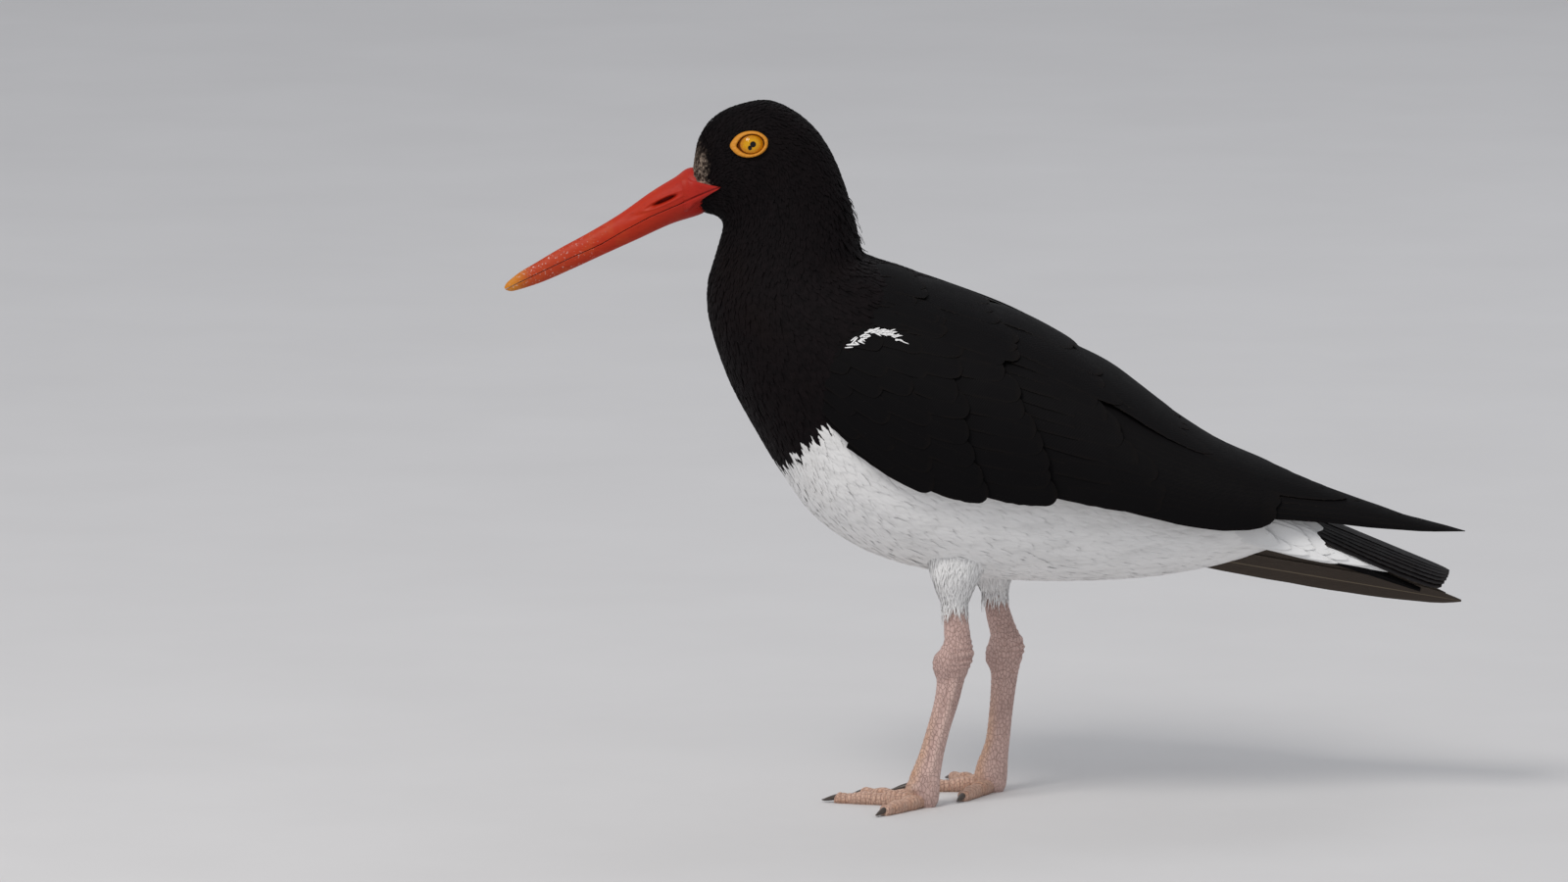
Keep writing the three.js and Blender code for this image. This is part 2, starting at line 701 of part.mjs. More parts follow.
// Legs: the feathered thigh, the bare shank with its ankle, the foot, the toes and the claws.
for (const leg of [LEFT_LEG, RIGHT_LEG]) {
  const [x, y] = leg.foot;
  const anklet = leg.shank.at(-1);
  const joint = limb(
    [
      [x, y, 0, 4.2, 3.6],
      [x, y, 2.5, 5.3, 4.3],
      [x, y, 6.5, 5.4, 4.3],
      [anklet[0], anklet[1], anklet[2] - GAP, 5.2, 3.9],
    ],
    14,
  );
  const toes = leg.toes.map((row) => toe(leg.foot, row.to));
  const foot = joined([joint, ...toes.map((row) => row.solid)]);
  const palm = (radius) => {
    const drum = new THREE.CylinderGeometry(radius, radius, 40, 24);
    return fromGeometry(drum.rotateX(Math.PI / 2).translate(x, y, 0));
  };
  addNode("thigh_" + leg.side, largest(limb(leg.thigh, 16).subtract(grownBody)), COLOURS.mixed);
  addNode("shank_" + leg.side, limb(leg.shank, 14), COLOURS.leg);
  addNode("foot_" + leg.side, largest(foot.intersect(palm(TOE.palm))), COLOURS.leg);
  leg.toes.forEach(({ name }, n) => {
    const end = leg.side + "_" + name;
    addNode("toe_" + end, largest(toes[n].solid.subtract(palm(TOE.palm + GAP))), COLOURS.leg);
    addNode("claw_" + end, largest(claw(toes[n]).subtract(foot)), COLOURS.claw);
  });
}

export default bird;
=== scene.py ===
# %% [markdown]
# A pied oystercatcher standing still, dressed over its fixed frame. The frame holds the solids
# that stand for the bird when it is bumped or dropped. This lesson lays a skin inside them and
# grows feathers on it, so that the bird looks alive and still fits the same space. It begins by
# loading the frame, because each piece has to know what it rides on.

# %% Frame
import math

import bpy
import numpy as np
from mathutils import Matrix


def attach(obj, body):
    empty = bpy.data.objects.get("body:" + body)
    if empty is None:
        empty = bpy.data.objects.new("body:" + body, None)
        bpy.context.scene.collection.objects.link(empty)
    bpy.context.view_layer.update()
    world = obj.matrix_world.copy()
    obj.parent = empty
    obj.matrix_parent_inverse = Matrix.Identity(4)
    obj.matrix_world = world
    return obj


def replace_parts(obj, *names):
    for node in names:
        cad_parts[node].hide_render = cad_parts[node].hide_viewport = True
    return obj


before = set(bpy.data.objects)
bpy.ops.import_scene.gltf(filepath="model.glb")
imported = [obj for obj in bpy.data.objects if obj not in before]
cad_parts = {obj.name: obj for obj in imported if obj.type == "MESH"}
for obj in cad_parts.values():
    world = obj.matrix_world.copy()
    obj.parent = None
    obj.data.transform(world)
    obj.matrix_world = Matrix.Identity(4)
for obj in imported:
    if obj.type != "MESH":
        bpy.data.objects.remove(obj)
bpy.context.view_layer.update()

MM = 0.001
TURN = 2 * math.pi
print("frame nodes:", len(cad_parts))

# %% [markdown]
# The camera stands far off with a long lens, as a bird watcher's does, eight degrees above the
# bird's level and square to its left side. A long lens keeps the near and far legs the same
# size. One picture width spans about 533 mm of bird and floor.

# %% Camera
TARGET = np.array([-0.0682, 0.0, 0.1232])
ELEVATION = math.radians(8)
DISTANCE = 5.93
camera = bpy.data.objects.new("camera", bpy.data.cameras.new("camera"))
bpy.context.scene.collection.objects.link(camera)
camera.data.sensor_width = 36
camera.data.lens = 400
camera.data.clip_end = 50
camera.location = TARGET + DISTANCE * np.array([0, -math.cos(ELEVATION), math.sin(ELEVATION)])
camera.rotation_euler = (math.pi / 2 - ELEVATION, 0, 0)
bpy.context.scene.camera = camera
print("camera at", [round(v, 3) for v in camera.location])

# %% [markdown]
# The light is that of a bright hazy day: a pale sky from all round, one broad lamp high on the
# bird's left that gives the belly its soft roundness, and a weaker one behind that lifts the
# outline. Black plumage needs large lamps, because a small one would only show as a spot.

# %% Light
world = bpy.data.worlds.new("sky")
bpy.context.scene.world = world
world.use_nodes = True
world.node_tree.nodes["Background"].inputs["Color"].default_value = (0.86, 0.88, 0.92, 1)
world.node_tree.nodes["Background"].inputs["Strength"].default_value = 0.66
bpy.context.scene.view_settings.view_transform = "Standard"


def lamp(name, place, power, size, colour):
    data = bpy.data.lights.new(name, "AREA")
    data.energy = power
    data.size = size
    data.color = colour
    made = bpy.data.objects.new(name, data)
    bpy.context.scene.collection.objects.link(made)
    made.location = place
    ray = np.array([0, 0, 0.12]) - np.array(place)
    made.rotation_euler = (math.atan2(math.hypot(ray[0], ray[1]), -ray[2]), 0, math.atan2(-ray[0], ray[1]))
    return made


lamp("key_lamp", (-0.9, -1.3, 1.9), 26, 0.8, (1.0, 0.97, 0.93))
lamp("back_lamp", (0.8, 1.5, 1.6), 5, 1.0, (0.93, 0.96, 1.0))
print("lamps ready")

# %% [markdown]
# Materials are built from small expressions. A link wraps one output socket, and the operators
# on it add the maths nodes, so a mask can be written as 1 - noise. Colours are blended with a
# Mix node, because plain maths would turn them grey.

# %% Links and finishes
def put(tree, socket, value):
    if isinstance(value, Link):
        tree.links.new(value.socket, socket)
    else:
        socket.default_value = value


class Link:
    def __init__(self, tree, socket):
        self.tree = tree
        self.socket = socket

    def maths(self, operation, first, second=0.0):
        node = self.tree.nodes.new("ShaderNodeMath")
        node.operation = operation
        put(self.tree, node.inputs[0], first)
        put(self.tree, node.inputs[1], second)
        return Link(self.tree, node.outputs[0])

    def __add__(self, other):
        return self.maths("ADD", self, other)

    def __sub__(self, other):
        return self.maths("SUBTRACT", self, other)

    def __rsub__(self, other):
        return self.maths("SUBTRACT", other, self)

    def __mul__(self, other):
        return self.maths("MULTIPLY", self, other)

    def __truediv__(self, other):
        return self.maths("DIVIDE", self, other)

    def __pow__(self, other):
        return self.maths("POWER", self, other)

    __radd__ = __add__

    def size(self):
        return self.maths("ABSOLUTE", self)

    def least(self, other):
        return self.maths("MINIMUM", self, other)

    def most(self, other):
        return self.maths("MAXIMUM", self, other)

    def step(self, low, high):
        """0 below low, 1 above high, and smooth between them."""
        node = self.tree.nodes.new("ShaderNodeMapRange")
        node.interpolation_type = "SMOOTHSTEP"
        put(self.tree, node.inputs[0], self)
        put(self.tree, node.inputs[1], low)
        put(self.tree, node.inputs[2], high)
        return Link(self.tree, node.outputs[0])


class Finish:
    """A material with one Principled shader."""

    def __init__(self, name, **constants):
        self.material = bpy.data.materials.new(name)
        self.material.use_nodes = True
        self.tree = self.material.node_tree
        self.shader = self.tree.nodes["Principled BSDF"]
        for socket, value in constants.items():
            self.set(socket.replace("_", " "), value)

    def set(self, socket, value):
        put(self.tree, self.shader.inputs[socket], value)

    def node(self, kind, settings, inputs, output=0):
        made = self.tree.nodes.new("ShaderNode" + kind)
        for key, value in settings.items():
            setattr(made, key, value)
        for key, value in inputs.items():
            put(self.tree, made.inputs[key], value)
        return Link(self.tree, made.outputs[output])

    def place(self):
        return self.node("TexCoord", {}, {}, "Object")

    def axes(self, vector):
        return [self.node("SeparateXYZ", {}, {0: vector}, k) for k in range(3)]

    def stretched(self, vector, scale):
        return self.node("Mapping", {}, {"Vector": vector, "Scale": scale})

    def noise(self, vector, scale, detail=3.0, rough=0.55):
        given = {"Vector": vector, "Scale": scale, "Detail": detail, "Roughness": rough}
        return self.node("TexNoise", {}, given)

    def blend(self, low, high, share):
        made = self.node("Mix", {"data_type": "RGBA"}, {0: share}, 2)
        node = made.socket.node
        put(self.tree, node.inputs[6], low)
        put(self.tree, node.inputs[7], high)
        return made

    def bump(self, height, distance, strength=1.0):
        given = {"Height": height, "Distance": distance, "Strength": strength}
        self.set("Normal", self.node("Bump", {}, given))


def shade(red, green, blue):
    return (red, green, blue, 1.0)


def turned(dx, dz, tilt):
    """Distances in the side view, along and square to a tilted line."""
    c, s = math.cos(tilt), math.sin(tilt)
    return dx * c + dz * s, dz * c - dx * s


print("finish tools ready")

# %% [markdown]
# Plumage is matt: light sinks between the barbs. The black is warm and very deep, the white
# is a soft cream with faint grey streaks along the lie of the feathers. The specular level is
# low, because a feather has no smooth surface to shine. Where the face meets the bill the black
# is worn to grey skin, and a mask made from the place in space paints that.

# %% Plumage finishes
black = Finish("black_plumage", Roughness=0.7, Specular_IOR_Level=0.06)
spots = black.noise(black.place(), 420.0)
broad = black.noise(black.place(), 38.0, 2.0)
deep = black.blend(shade(0.0042, 0.0031, 0.0035), shade(0.0072, 0.0050, 0.0056), spots.step(0.3, 0.75))
deep = black.blend(deep, shade(0.0088, 0.0054, 0.0050), broad.step(0.5, 0.8) * 0.6)
face_x, face_y, face_z = black.axes(black.place())
ragged = black.noise(black.place(), 520.0, 3.0) - 0.5
front = (face_x + face_z * 0.10 + ragged * 0.0080).step(-0.0716, -0.0748)
front = front * (face_z + ragged * 0.012).step(0.2275, 0.2180) * face_z.step(0.2105, 0.2115)
dust = black.noise(black.place(), 900.0, 4.0)
worn_face = black.blend(shade(0.060, 0.040, 0.032), shade(0.50, 0.39, 0.31), dust.step(0.40, 0.66))
black.set("Base Color", black.blend(deep, worn_face, front * 0.85))
black.bump(spots, 0.0002, 0.4)

white = Finish("white_plumage", Roughness=0.85, Specular_IOR_Level=0.12)
along_bird = white.stretched(white.place(), (70.0, 300.0, 300.0))
streaks = white.noise(along_bird, 1.0, 4.0)
soft = white.noise(white.place(), 24.0, 2.0)
pale = white.blend(shade(0.74, 0.735, 0.73), shade(0.85, 0.845, 0.84), streaks.step(0.25, 0.6))
white.set("Base Color", white.blend(pale, shade(0.76, 0.745, 0.72), soft.step(0.5, 0.8) * 0.5))
white.bump(streaks, 0.0002, 0.3)
print("plumage finishes ready")

# %% [markdown]
# A flight feather has a shaft and barbs that leave it at a slant. The vane carries its own
# coordinates, across and along, so the barbs can be drawn as fine slanting waves and the worn
# edge can be paler and browner, on whichever part of the wing the feather lies.

# %% Vane finishes
def vane_finish(name, deep_tone, worn_tone, shaft_tone, gloss):
    made = Finish(name, Specular_IOR_Level=gloss)
    across, run, _ = made.axes(made.node("UVMap", {"uv_map": "Vane"}, {}))
    side = (across - 0.5).size() * 2.0
    slant = run * 260.0 + side * 34.0
    barbs = slant.maths("SINE", slant)
    mottle = made.noise(made.place(), 160.0)
    worn = (side.step(0.78, 1.0) * 0.5 + run.step(0.92, 1.0) * 0.5).least(1.0) * mottle.step(0.3, 0.6)
    shaft = 1 - side.step(0.02, 0.07)
    tone = made.blend(deep_tone, worn_tone, worn)
    made.set("Base Color", made.blend(tone, shaft_tone, shaft * 0.7))
    made.set("Roughness", 0.52 + mottle * 0.2)
    made.bump(barbs * 0.25 + mottle, 0.00010, 0.5)
    return made


upper_vane = vane_finish(
    "wing_upper", shade(0.0034, 0.0030, 0.0034), shade(0.0080, 0.0060, 0.0052),
    shade(0.0045, 0.0037, 0.0037), 0.06,
)
under_vane = vane_finish(
    "wing_under", shade(0.060, 0.046, 0.036), shade(0.075, 0.060, 0.045), shade(0.20, 0.16, 0.11), 0.2
)
tail_vane = vane_finish(
    "tail_upper", shade(0.0055, 0.0040, 0.0046), shade(0.014, 0.010, 0.009), shade(0.009, 0.007, 0.0065), 0.06
)
# Painted light: the tail coverts get a brighter white than the body plumage, so they stay white in the wing's
# shade.
covert_vane_painted_light = vane_finish(
    "tail_coverts", shade(0.88, 0.88, 0.88), shade(0.90, 0.90, 0.89), shade(0.87, 0.87, 0.86), 0.12
)
print("vane finishes ready")

# %% [markdown]
# The bill is horn: red at its root, orange-red along its length, and yellow at the worn blade
# of the tip. Fine lines run along it, and dried salt freckles its outer half. The slit of the
# nostril and the crease of the mouth are painted darker inside: partly the dark red skin there,
# partly painted shade in these hollows.

# %% Bill finish
NOSTRIL = {"x": -108.6, "z": 206.3, "long": 9.8, "high": 1.5, "tilt": math.radians(25)}
CREASE = {"x": -92.2, "z": 210.9, "slope": 0.503}


def bill_finish():
    made = Finish("bill_horn", Coat_Weight=0.03, Coat_Roughness=0.3, Specular_IOR_Level=0.16)
    x, _, z = made.axes(made.place())
    ahead = x * -1.0
    lines = made.noise(made.stretched(made.place(), (220.0, 1500.0, 1500.0)), 1.0, 4.0)
    cloud = made.noise(made.place(), 110.0, 3.0)
    tone = made.blend(shade(0.38, 0.015, 0.009), shade(0.45, 0.026, 0.007), ahead.step(0.092, 0.118))
    tone = made.blend(tone, shade(0.44, 0.050, 0.014), ahead.step(0.124, 0.157))
    clouded = cloud.step(0.5, 0.75) * ahead.step(0.098, 0.112) * 0.45
    tone = made.blend(tone, shade(0.52, 0.095, 0.022), clouded)
    tone = made.blend(tone, shade(0.58, 0.21, 0.020), ahead.step(0.153, 0.1615))
    tone = made.blend(tone, shade(0.24, 0.009, 0.005), lines.step(0.52, 0.8) * 0.5)
    level = z + ahead * CREASE["slope"]
    rest = (CREASE["z"] - CREASE["slope"] * CREASE["x"]) * MM
    crease = (1 - (level - rest).size().step(0.00008, 0.00045)) * ahead.step(0.103, 0.0985)
    run, rise = turned(x - NOSTRIL["x"] * MM, z - NOSTRIL["z"] * MM, NOSTRIL["tilt"])
    run = run / (NOSTRIL["long"] * MM / 2)
    rise = rise / (NOSTRIL["high"] * MM / 2)
    slit = 1 - ((run * run + rise * rise) ** 0.5).step(0.55, 1.0)
    # Painted shade with dark red skin: masks by place darken the nostril slit and the mouth crease.
    tone = made.blend(tone, shade(0.15, 0.005, 0.004), (slit * 0.8).most(crease * 0.7))
    salt = made.noise(made.place(), 1300.0, 2.0).step(0.62, 0.70) * ahead.step(0.124, 0.146)
    made.set("Base Color", made.blend(tone, shade(0.70, 0.52, 0.47), salt * 0.75))
    made.set("Roughness", 0.36 + lines * 0.2)
    made.bump(lines, 0.00012, 0.7)
    return made


horn = bill_finish()
print("bill finish ready")

# %% [markdown]
# The legs are pale flesh pink, warmer in front where broad plates lie and cooler behind. Their
# skin is a net of tiny plates, made by a cell pattern whose edges sink a little. Ridges, bosses
# and wrinkle crests get a painted highlight, and grooves, wrinkle troughs and the notches between
# toe plates get a painted shade. The fleshy ring round the eye is pitted like orange peel.

# %% Skin finishes
leg_skin = Finish("leg_skin", Specular_IOR_Level=0.3)
wobble = leg_skin.noise(leg_skin.place(), 240.0, 2.0)
blotch = leg_skin.noise(leg_skin.place(), 90.0, 3.0)
given = {"Vector": leg_skin.stretched(leg_skin.place(), (1.0, 1.0, 0.62)), "Scale": 900.0}
plates = leg_skin.node("TexVoronoi", {"feature": "DISTANCE_TO_EDGE"}, given).step(0.0, 0.10)
forward, ridge, _ = leg_skin.axes(leg_skin.node("UVMap", {"uv_map": "Vane"}, {}))
_, _, tall = leg_skin.axes(leg_skin.place())
flesh = leg_skin.blend(shade(0.50, 0.34, 0.305), shade(0.66, 0.46, 0.41), blotch.step(0.35, 0.7))
warm = leg_skin.blend(shade(0.62, 0.40, 0.29), shade(0.58, 0.33, 0.21), wobble.step(0.45, 0.75))
flesh = leg_skin.blend(flesh, warm, forward.step(0.55, 0.95) * tall.step(0.042, 0.016) * 0.9)
# Painted highlight and shade: the second Vane coordinate carries light, so ridges and bosses are painted
# paler and grooves, wrinkle troughs and toe notches darker.
flesh = leg_skin.blend(flesh, shade(0.68, 0.50, 0.44), ridge.step(0.1, 1.0) * 0.5)
flesh = leg_skin.blend(flesh, shade(0.34, 0.18, 0.15), ridge.step(-0.05, -0.8) * 0.6)
leg_skin.set("Base Color", leg_skin.blend(shade(0.44, 0.27, 0.22), flesh, 0.6 + plates * 0.4))
leg_skin.set("Roughness", 0.52 + wobble * 0.2)
leg_skin.bump(plates + wobble * 0.8, 0.00025, 0.9)

claw_horn = Finish("claw_horn", Roughness=0.35, Specular_IOR_Level=0.45)
grain = claw_horn.noise(claw_horn.stretched(claw_horn.place(), (500.0, 500.0, 1500.0)), 1.0)
claw_horn.set("Base Color", claw_horn.blend(shade(0.020, 0.016, 0.014), shade(0.10, 0.075, 0.06), grain))

lid_skin = Finish("lid_skin", Specular_IOR_Level=0.25)
creases = lid_skin.noise(lid_skin.place(), 1300.0, 3.0)
lid_skin.set("Base Color", lid_skin.blend(shade(0.56, 0.19, 0.012), shade(0.68, 0.30, 0.030), creases))
lid_skin.set("Roughness", 0.42 + creases * 0.2)
lid_skin.bump(creases, 0.0002, 0.7)
print("skin finishes ready")

# %% [markdown]
# The eye is a ball under a clear wet film. Its colours are painted by their place in the side
# view: a small black pupil with a dark fleck joined to its lower front edge, a yellow iris, and
# a dark brown line of painted shadow where the iris goes under the rim of the fleshy ring.

# %% Eye finish
EYE = {"x": -79.4, "y": 10.1, "z": 225.7, "radius": 5.9}
LID = {"x": -79.3, "z": 226.8, "inner": (4.5, 3.35), "outer": (6.25, 4.35), "forward": 0.5,
       "tilt": math.radians(8), "raised": 0.7}
eye_wet = Finish("eye_wet", Roughness=0.05, Coat_Weight=0.08, Coat_Roughness=0.02, Specular_IOR_Level=0.22)
ex, _, ez = eye_wet.axes(eye_wet.place())


def spot(x_mm, z_mm, wide, tall):
    """Distance from a place on the eye, 1 at the edge of a tilted ellipse."""
    run, rise = turned(ex - x_mm * MM, ez - z_mm * MM, LID["tilt"])
    run, rise = run / (wide * MM), rise / (tall * MM)
    return (run * run + rise * rise) ** 0.5


rays = eye_wet.noise(eye_wet.place(), 1800.0, 3.0)
rim = spot(LID["x"] + 0.3, LID["z"], LID["inner"][0], LID["inner"][1])
iris = eye_wet.blend(shade(0.62, 0.30, 0.004), shade(0.50, 0.18, 0.004), rim.step(0.4, 0.85))
iris = eye_wet.blend(iris, shade(0.70, 0.38, 0.008), rays.step(0.45, 0.75) * 0.5)
# Painted shadow: a dark brown band at the edge of the opening stands for the shade under the ring's rim.
iris = eye_wet.blend(iris, shade(0.12, 0.030, 0.004), rim.step(0.84, 0.95))
pupil = spot(-78.7, 226.85, 1.05, 1.05).step(0.85, 1.1)
fleck = spot(-79.75, 225.65, 0.72, 0.85).step(0.8, 1.15)
eye_wet.set("Base Color", eye_wet.blend(shade(0.003, 0.002, 0.002), iris, pupil.least(fleck)))
print("eye finish ready")

# %% [markdown]
# The floor is plain and pale, a studio's stand-in for bright ground. It throws light up at the
# belly, which is why the underside of the bird is never really dark.

# %% Floor
floor_finish = Finish("floor_pale", Roughness=0.9, Specular_IOR_Level=0.1)
dust = floor_finish.noise(floor_finish.place(), 9.0, 4.0)
floor_finish.set("Base Color", floor_finish.blend(shade(0.60, 0.59, 0.59), shade(0.66, 0.65, 0.65), dust))
floor_mesh = bpy.data.meshes.new("floor")
floor_mesh.from_pydata([(-9, -9, 0), (9, -9, 0), (9, 30, 0), (-9, 30, 0)], [], [(0, 1, 2, 3)])
floor_mesh.materials.append(floor_finish.material)
floor = bpy.data.objects.new("floor", floor_mesh)
bpy.context.scene.collection.objects.link(floor)
print("floor ready")

# %% [markdown]
# Every shape here is a smooth curve through rows of measured numbers, just as in the solids.
# The same rows are repeated in millimetres, and one small function runs a curve through them.

# %% Curves
def along(rows, at):
    """Smooth values at positions along rows whose first column is the position."""
    rows = np.asarray(rows, float)
    turn = 1.0 if rows[-1, 0] > rows[0, 0] else -1.0
    at = np.asarray(at, float)
    last = len(rows) - 1
    i = np.clip(np.searchsorted(rows[:, 0] * turn, at * turn, side="left") - 1, 0, last - 1)
    before, start, end, after = (rows[np.clip(i + k, 0, last)] for k in (-1, 0, 1, 2))
    span = end[..., 0] - start[..., 0]
    f = ((at - start[..., 0]) / span)[..., None]
    span = span[..., None]
    slope_in = (end - before) / (end[..., :1] - before[..., :1]) * span
    slope_out = (after - start) / (after[..., :1] - start[..., :1]) * span
    values = (
        start * (2 * f**3 - 3 * f**2 + 1)
        + slope_in * (f**3 - 2 * f**2 + f)
        + end * (3 * f**2 - 2 * f**3)
        + slope_out * (f**3 - f**2)
    )
    return values[..., 1:]


def columns(rows, at):
    """The same values, as one array for each column."""
    return np.moveaxis(along(rows, at), -1, 0)


def unit(vectors):
    return vectors / np.linalg.norm(vectors, axis=-1, keepdims=True)


def numbered(rows):
    return np.column_stack([np.arange(len(rows)), np.asarray(rows, float)])


def superellipse(angle, fullness):
    c, s = np.cos(angle), np.sin(angle)
    power = 2 / fullness
    return np.sign(c) * np.abs(c) ** power, np.sign(s) * np.abs(s) ** power


def smooth(t):
    t = np.clip(t, 0, 1)
    return t * t * (3 - 2 * t)


def mix(a, b, t):
    return a + (b - a) * t


print("curve tools ready")

# %% [markdown]
# The body is one long loft from the root of the bill to the root of the tail. Each station
# gives a point of the back, a point of the belly and half the width between them. A place on
# it is told by its station and by an angle, 0 on the back and 180 degrees on the belly. One
# station before the first reaches a little over the bill, where the chin feathers begin.

# %% Body shape
BODY = numbered([
    [-101.0, 216.6, -100.9, 199.9, 7.1],
    [-99.0, 217.5, -96.5, 201.3, 6.8],
    [-97.0, 227.5, -93.4, 200.6, 9.2],
    [-92.0, 234.8, -91.0, 199.8, 12.4],
    [-83.0, 239.2, -89.4, 198.4, 15.0],
    [-72.0, 240.3, -88.9, 196.6, 16.2],
    [-60.5, 234.0, -89.4, 194.0, 16.4],
    [-52.5, 224.0, -90.8, 189.6, 17.2],
    [-47.0, 211.0, -92.6, 184.0, 19.4],
    [-43.3, 198.0, -94.6, 177.0, 22.6],
    [-41.0, 188.6, -94.6, 167.5, 26.4],
    [-37.0, 186.0, -91.6, 155.5, 30.4],
    [-31.0, 184.2, -86.4, 142.0, 34.6],
    [-23.0, 181.4, -78.8, 128.0, 37.8],
    [-14.0, 177.6, -69.4, 112.5, 39.6],
    [-3.0, 173.0, -57.5, 96.8, 40.4],
    [10.0, 166.5, -40.0, 85.5, 40.0],
    [25.0, 157.5, -17.0, 78.6, 38.2],
    [41.0, 146.5, 9.0, 75.6, 34.6],
    [57.0, 134.0, 34.0, 75.2, 29.2],
    [73.0, 121.5, 57.0, 76.6, 22.8],
    [88.0, 112.0, 79.0, 80.4, 16.4],
    [101.0, 105.6, 97.0, 86.0, 11.0],
    [110.0, 101.0, 109.0, 91.5, 6.6],
])
BODY[:, 0] -= 1
BODY_START, BODY_END = BODY[0, 0], BODY[-1, 0]
BODY_FULLNESS = 2.25
COAT_DEPTH = 1.1


def body_point(t, angle, depth=0.0):
    top_x, top_z, low_x, low_z, half = columns(BODY, np.clip(t, BODY_START, BODY_END))
    up_x, up_z = (top_x - low_x) / 2, (top_z - low_z) / 2
    length = np.hypot(up_x, up_z)
    reach = np.maximum(length - depth, 0.5) / length
    c, s = superellipse(angle, BODY_FULLNESS)
    x = (top_x + low_x) / 2 + up_x * c * reach
    z = (top_z + low_z) / 2 + up_z * c * reach
    return np.stack([x, -s * np.maximum(half - depth, 0.5), z], -1)


class Surface:
    """A place on a surface by two numbers, with the lie, the side and the outward direction."""

    def __init__(self, point, step_t, step_a):
        self.point = point
        self.step_t = step_t
        self.step_a = step_a

    def frame(self, t, a):
        here = self.point(t, a)
        lie = self.point(t + self.step_t, a) - self.point(t - self.step_t, a)
        side = self.point(t, a + self.step_a) - self.point(t, a - self.step_a)
        long = np.linalg.norm(lie, axis=-1, keepdims=True) + 1e-9
        wide = np.linalg.norm(side, axis=-1, keepdims=True) + 1e-9
        lie, side = lie / long, side / wide
        out = np.cross(side, lie)
        out /= np.linalg.norm(out, axis=-1, keepdims=True) + 1e-9
        return here, lie, side, out, long[..., 0] / (2 * self.step_t), wide[..., 0] / (2 * self.step_a)


body = Surface(lambda t, a: body_point(t, a, COAT_DEPTH), 0.02, 0.02)
out_check = body.frame(np.array([12.0]), np.array([math.pi / 2]))[3][0]
print("outward at the left side:", out_check.round(2))

# %% [markdown]
# All pieces are made the same way: blocks of points and triangles are heaped up as arrays and
# turned into one mesh at the end. Arrays are quick, so tens of thousands of small feathers take
# seconds. Each block may carry coordinates for baking and coordinates of its own vane. It may
# also carry outward directions for the light, so that small feathers shade like one soft coat.

# %% Heaps
def halved(quads):
    """Two triangles for each face of four corners."""
    quads = quads.reshape(-1, 4)
    return np.concatenate([quads[:, [0, 1, 2]], quads[:, [0, 2, 3]]])


def ring_faces(rings, sides):
    """Triangles between rings of equally many points, and over both ends."""
    r, s = np.meshgrid(np.arange(rings - 1), np.arange(sides), indexing="ij")
    a, b = r * sides + s, r * sides + (s + 1) % sides
    sleeve = halved(np.stack([a, b, b + sides, a + sides], -1))
    k = np.arange(1, sides - 1)
    fan = np.stack([np.zeros_like(k), k + 1, k], -1)
    return np.concatenate([sleeve, fan, fan[:, [0, 2, 1]] + (rings - 1) * sides])


def loft_grid(first, last, rings, sides):
    """Stations down a loft and angles round it, one of each for every point."""
    t = np.linspace(first, last, rings)[:, None] * np.ones(sides)
    a = np.ones(rings)[:, None] * np.linspace(0, TURN, sides, endpoint=False)
    return t, a


class Heap:
    def __init__(self):
        self.points, self.faces, self.bake, self.vane, self.kind, self.out = [], [], [], [], [], []
        self.count = 0

    def add(self, points, faces, bake=None, vane=None, kind=0, out=None):
        """points (n, p, 3): n copies of one closed layout; its faces are turned outward."""
        copies, each = points.shape[:2]
        corners = points[:40, faces]
        if (corners[:, :, 0] * np.cross(corners[:, :, 1], corners[:, :, 2])).sum() < 0:
            faces = faces[:, ::-1]
        starts = self.count + np.arange(copies) * each
        self.points.append(points.reshape(-1, 3))
        self.faces.append((faces[None] + starts[:, None, None]).reshape(-1, 3))
        flat = np.zeros((copies * each, 2))
        self.bake.append(flat if bake is None else np.broadcast_to(bake, (copies, each, 2)).reshape(-1, 2))
        self.vane.append(flat if vane is None else np.broadcast_to(vane, (copies, each, 2)).reshape(-1, 2))
        self.kind.append(np.broadcast_to(kind, (copies, len(faces))).reshape(-1))
        if out is not None:
            self.out.append(out.reshape(-1, 3))
        self.count += copies * each

    def made(self, name, finishes, slot, uses=("OFBake",)):
        points = np.concatenate(self.points) * MM
        faces = np.concatenate(self.faces)
        mesh = bpy.data.meshes.new(name)
        mesh.vertices.add(len(points))
        mesh.vertices.foreach_set("co", points.astype(np.float32).ravel())
        mesh.loops.add(faces.size)
        mesh.loops.foreach_set("vertex_index", faces.astype(np.int32).ravel())
        mesh.polygons.add(len(faces))
        mesh.polygons.foreach_set("loop_start", np.arange(0, faces.size, 3, dtype=np.int32))
        mesh.polygons.foreach_set("use_smooth", np.ones(len(faces), bool))
        mesh.polygons.foreach_set("material_index", np.concatenate(self.kind).astype(np.int32))
        for use, values in (("OFBake", self.bake), ("Vane", self.vane)):
            if use in uses:
                layer = mesh.uv_layers.new(name=use)
                layer.data.foreach_set("uv", np.concatenate(values)[faces.ravel()].astype(np.float32).ravel())
        for finish in finishes:
            mesh.materials.append(finish.material)
        mesh.update(calc_edges=True)
        if self.out:
            mesh.normals_split_custom_set_from_vertices(np.concatenate(self.out).astype(np.float32))
        made = bpy.data.objects.new(name, mesh)
        bpy.context.scene.collection.objects.link(made)
        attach(made, "root")
        print(name, len(faces), "triangles")
        return made


def one_piece(name, points, faces, finish, slot, look=None):
    """A piece of one closed shape; look paints it by coordinates of its own."""
    heap = Heap()
    heap.add(points.reshape(1, -1, 3), faces, vane=None if look is None else look.reshape(1, -1, 2))
    return heap.made(name, (finish,), slot, uses=() if look is None else ("Vane",))


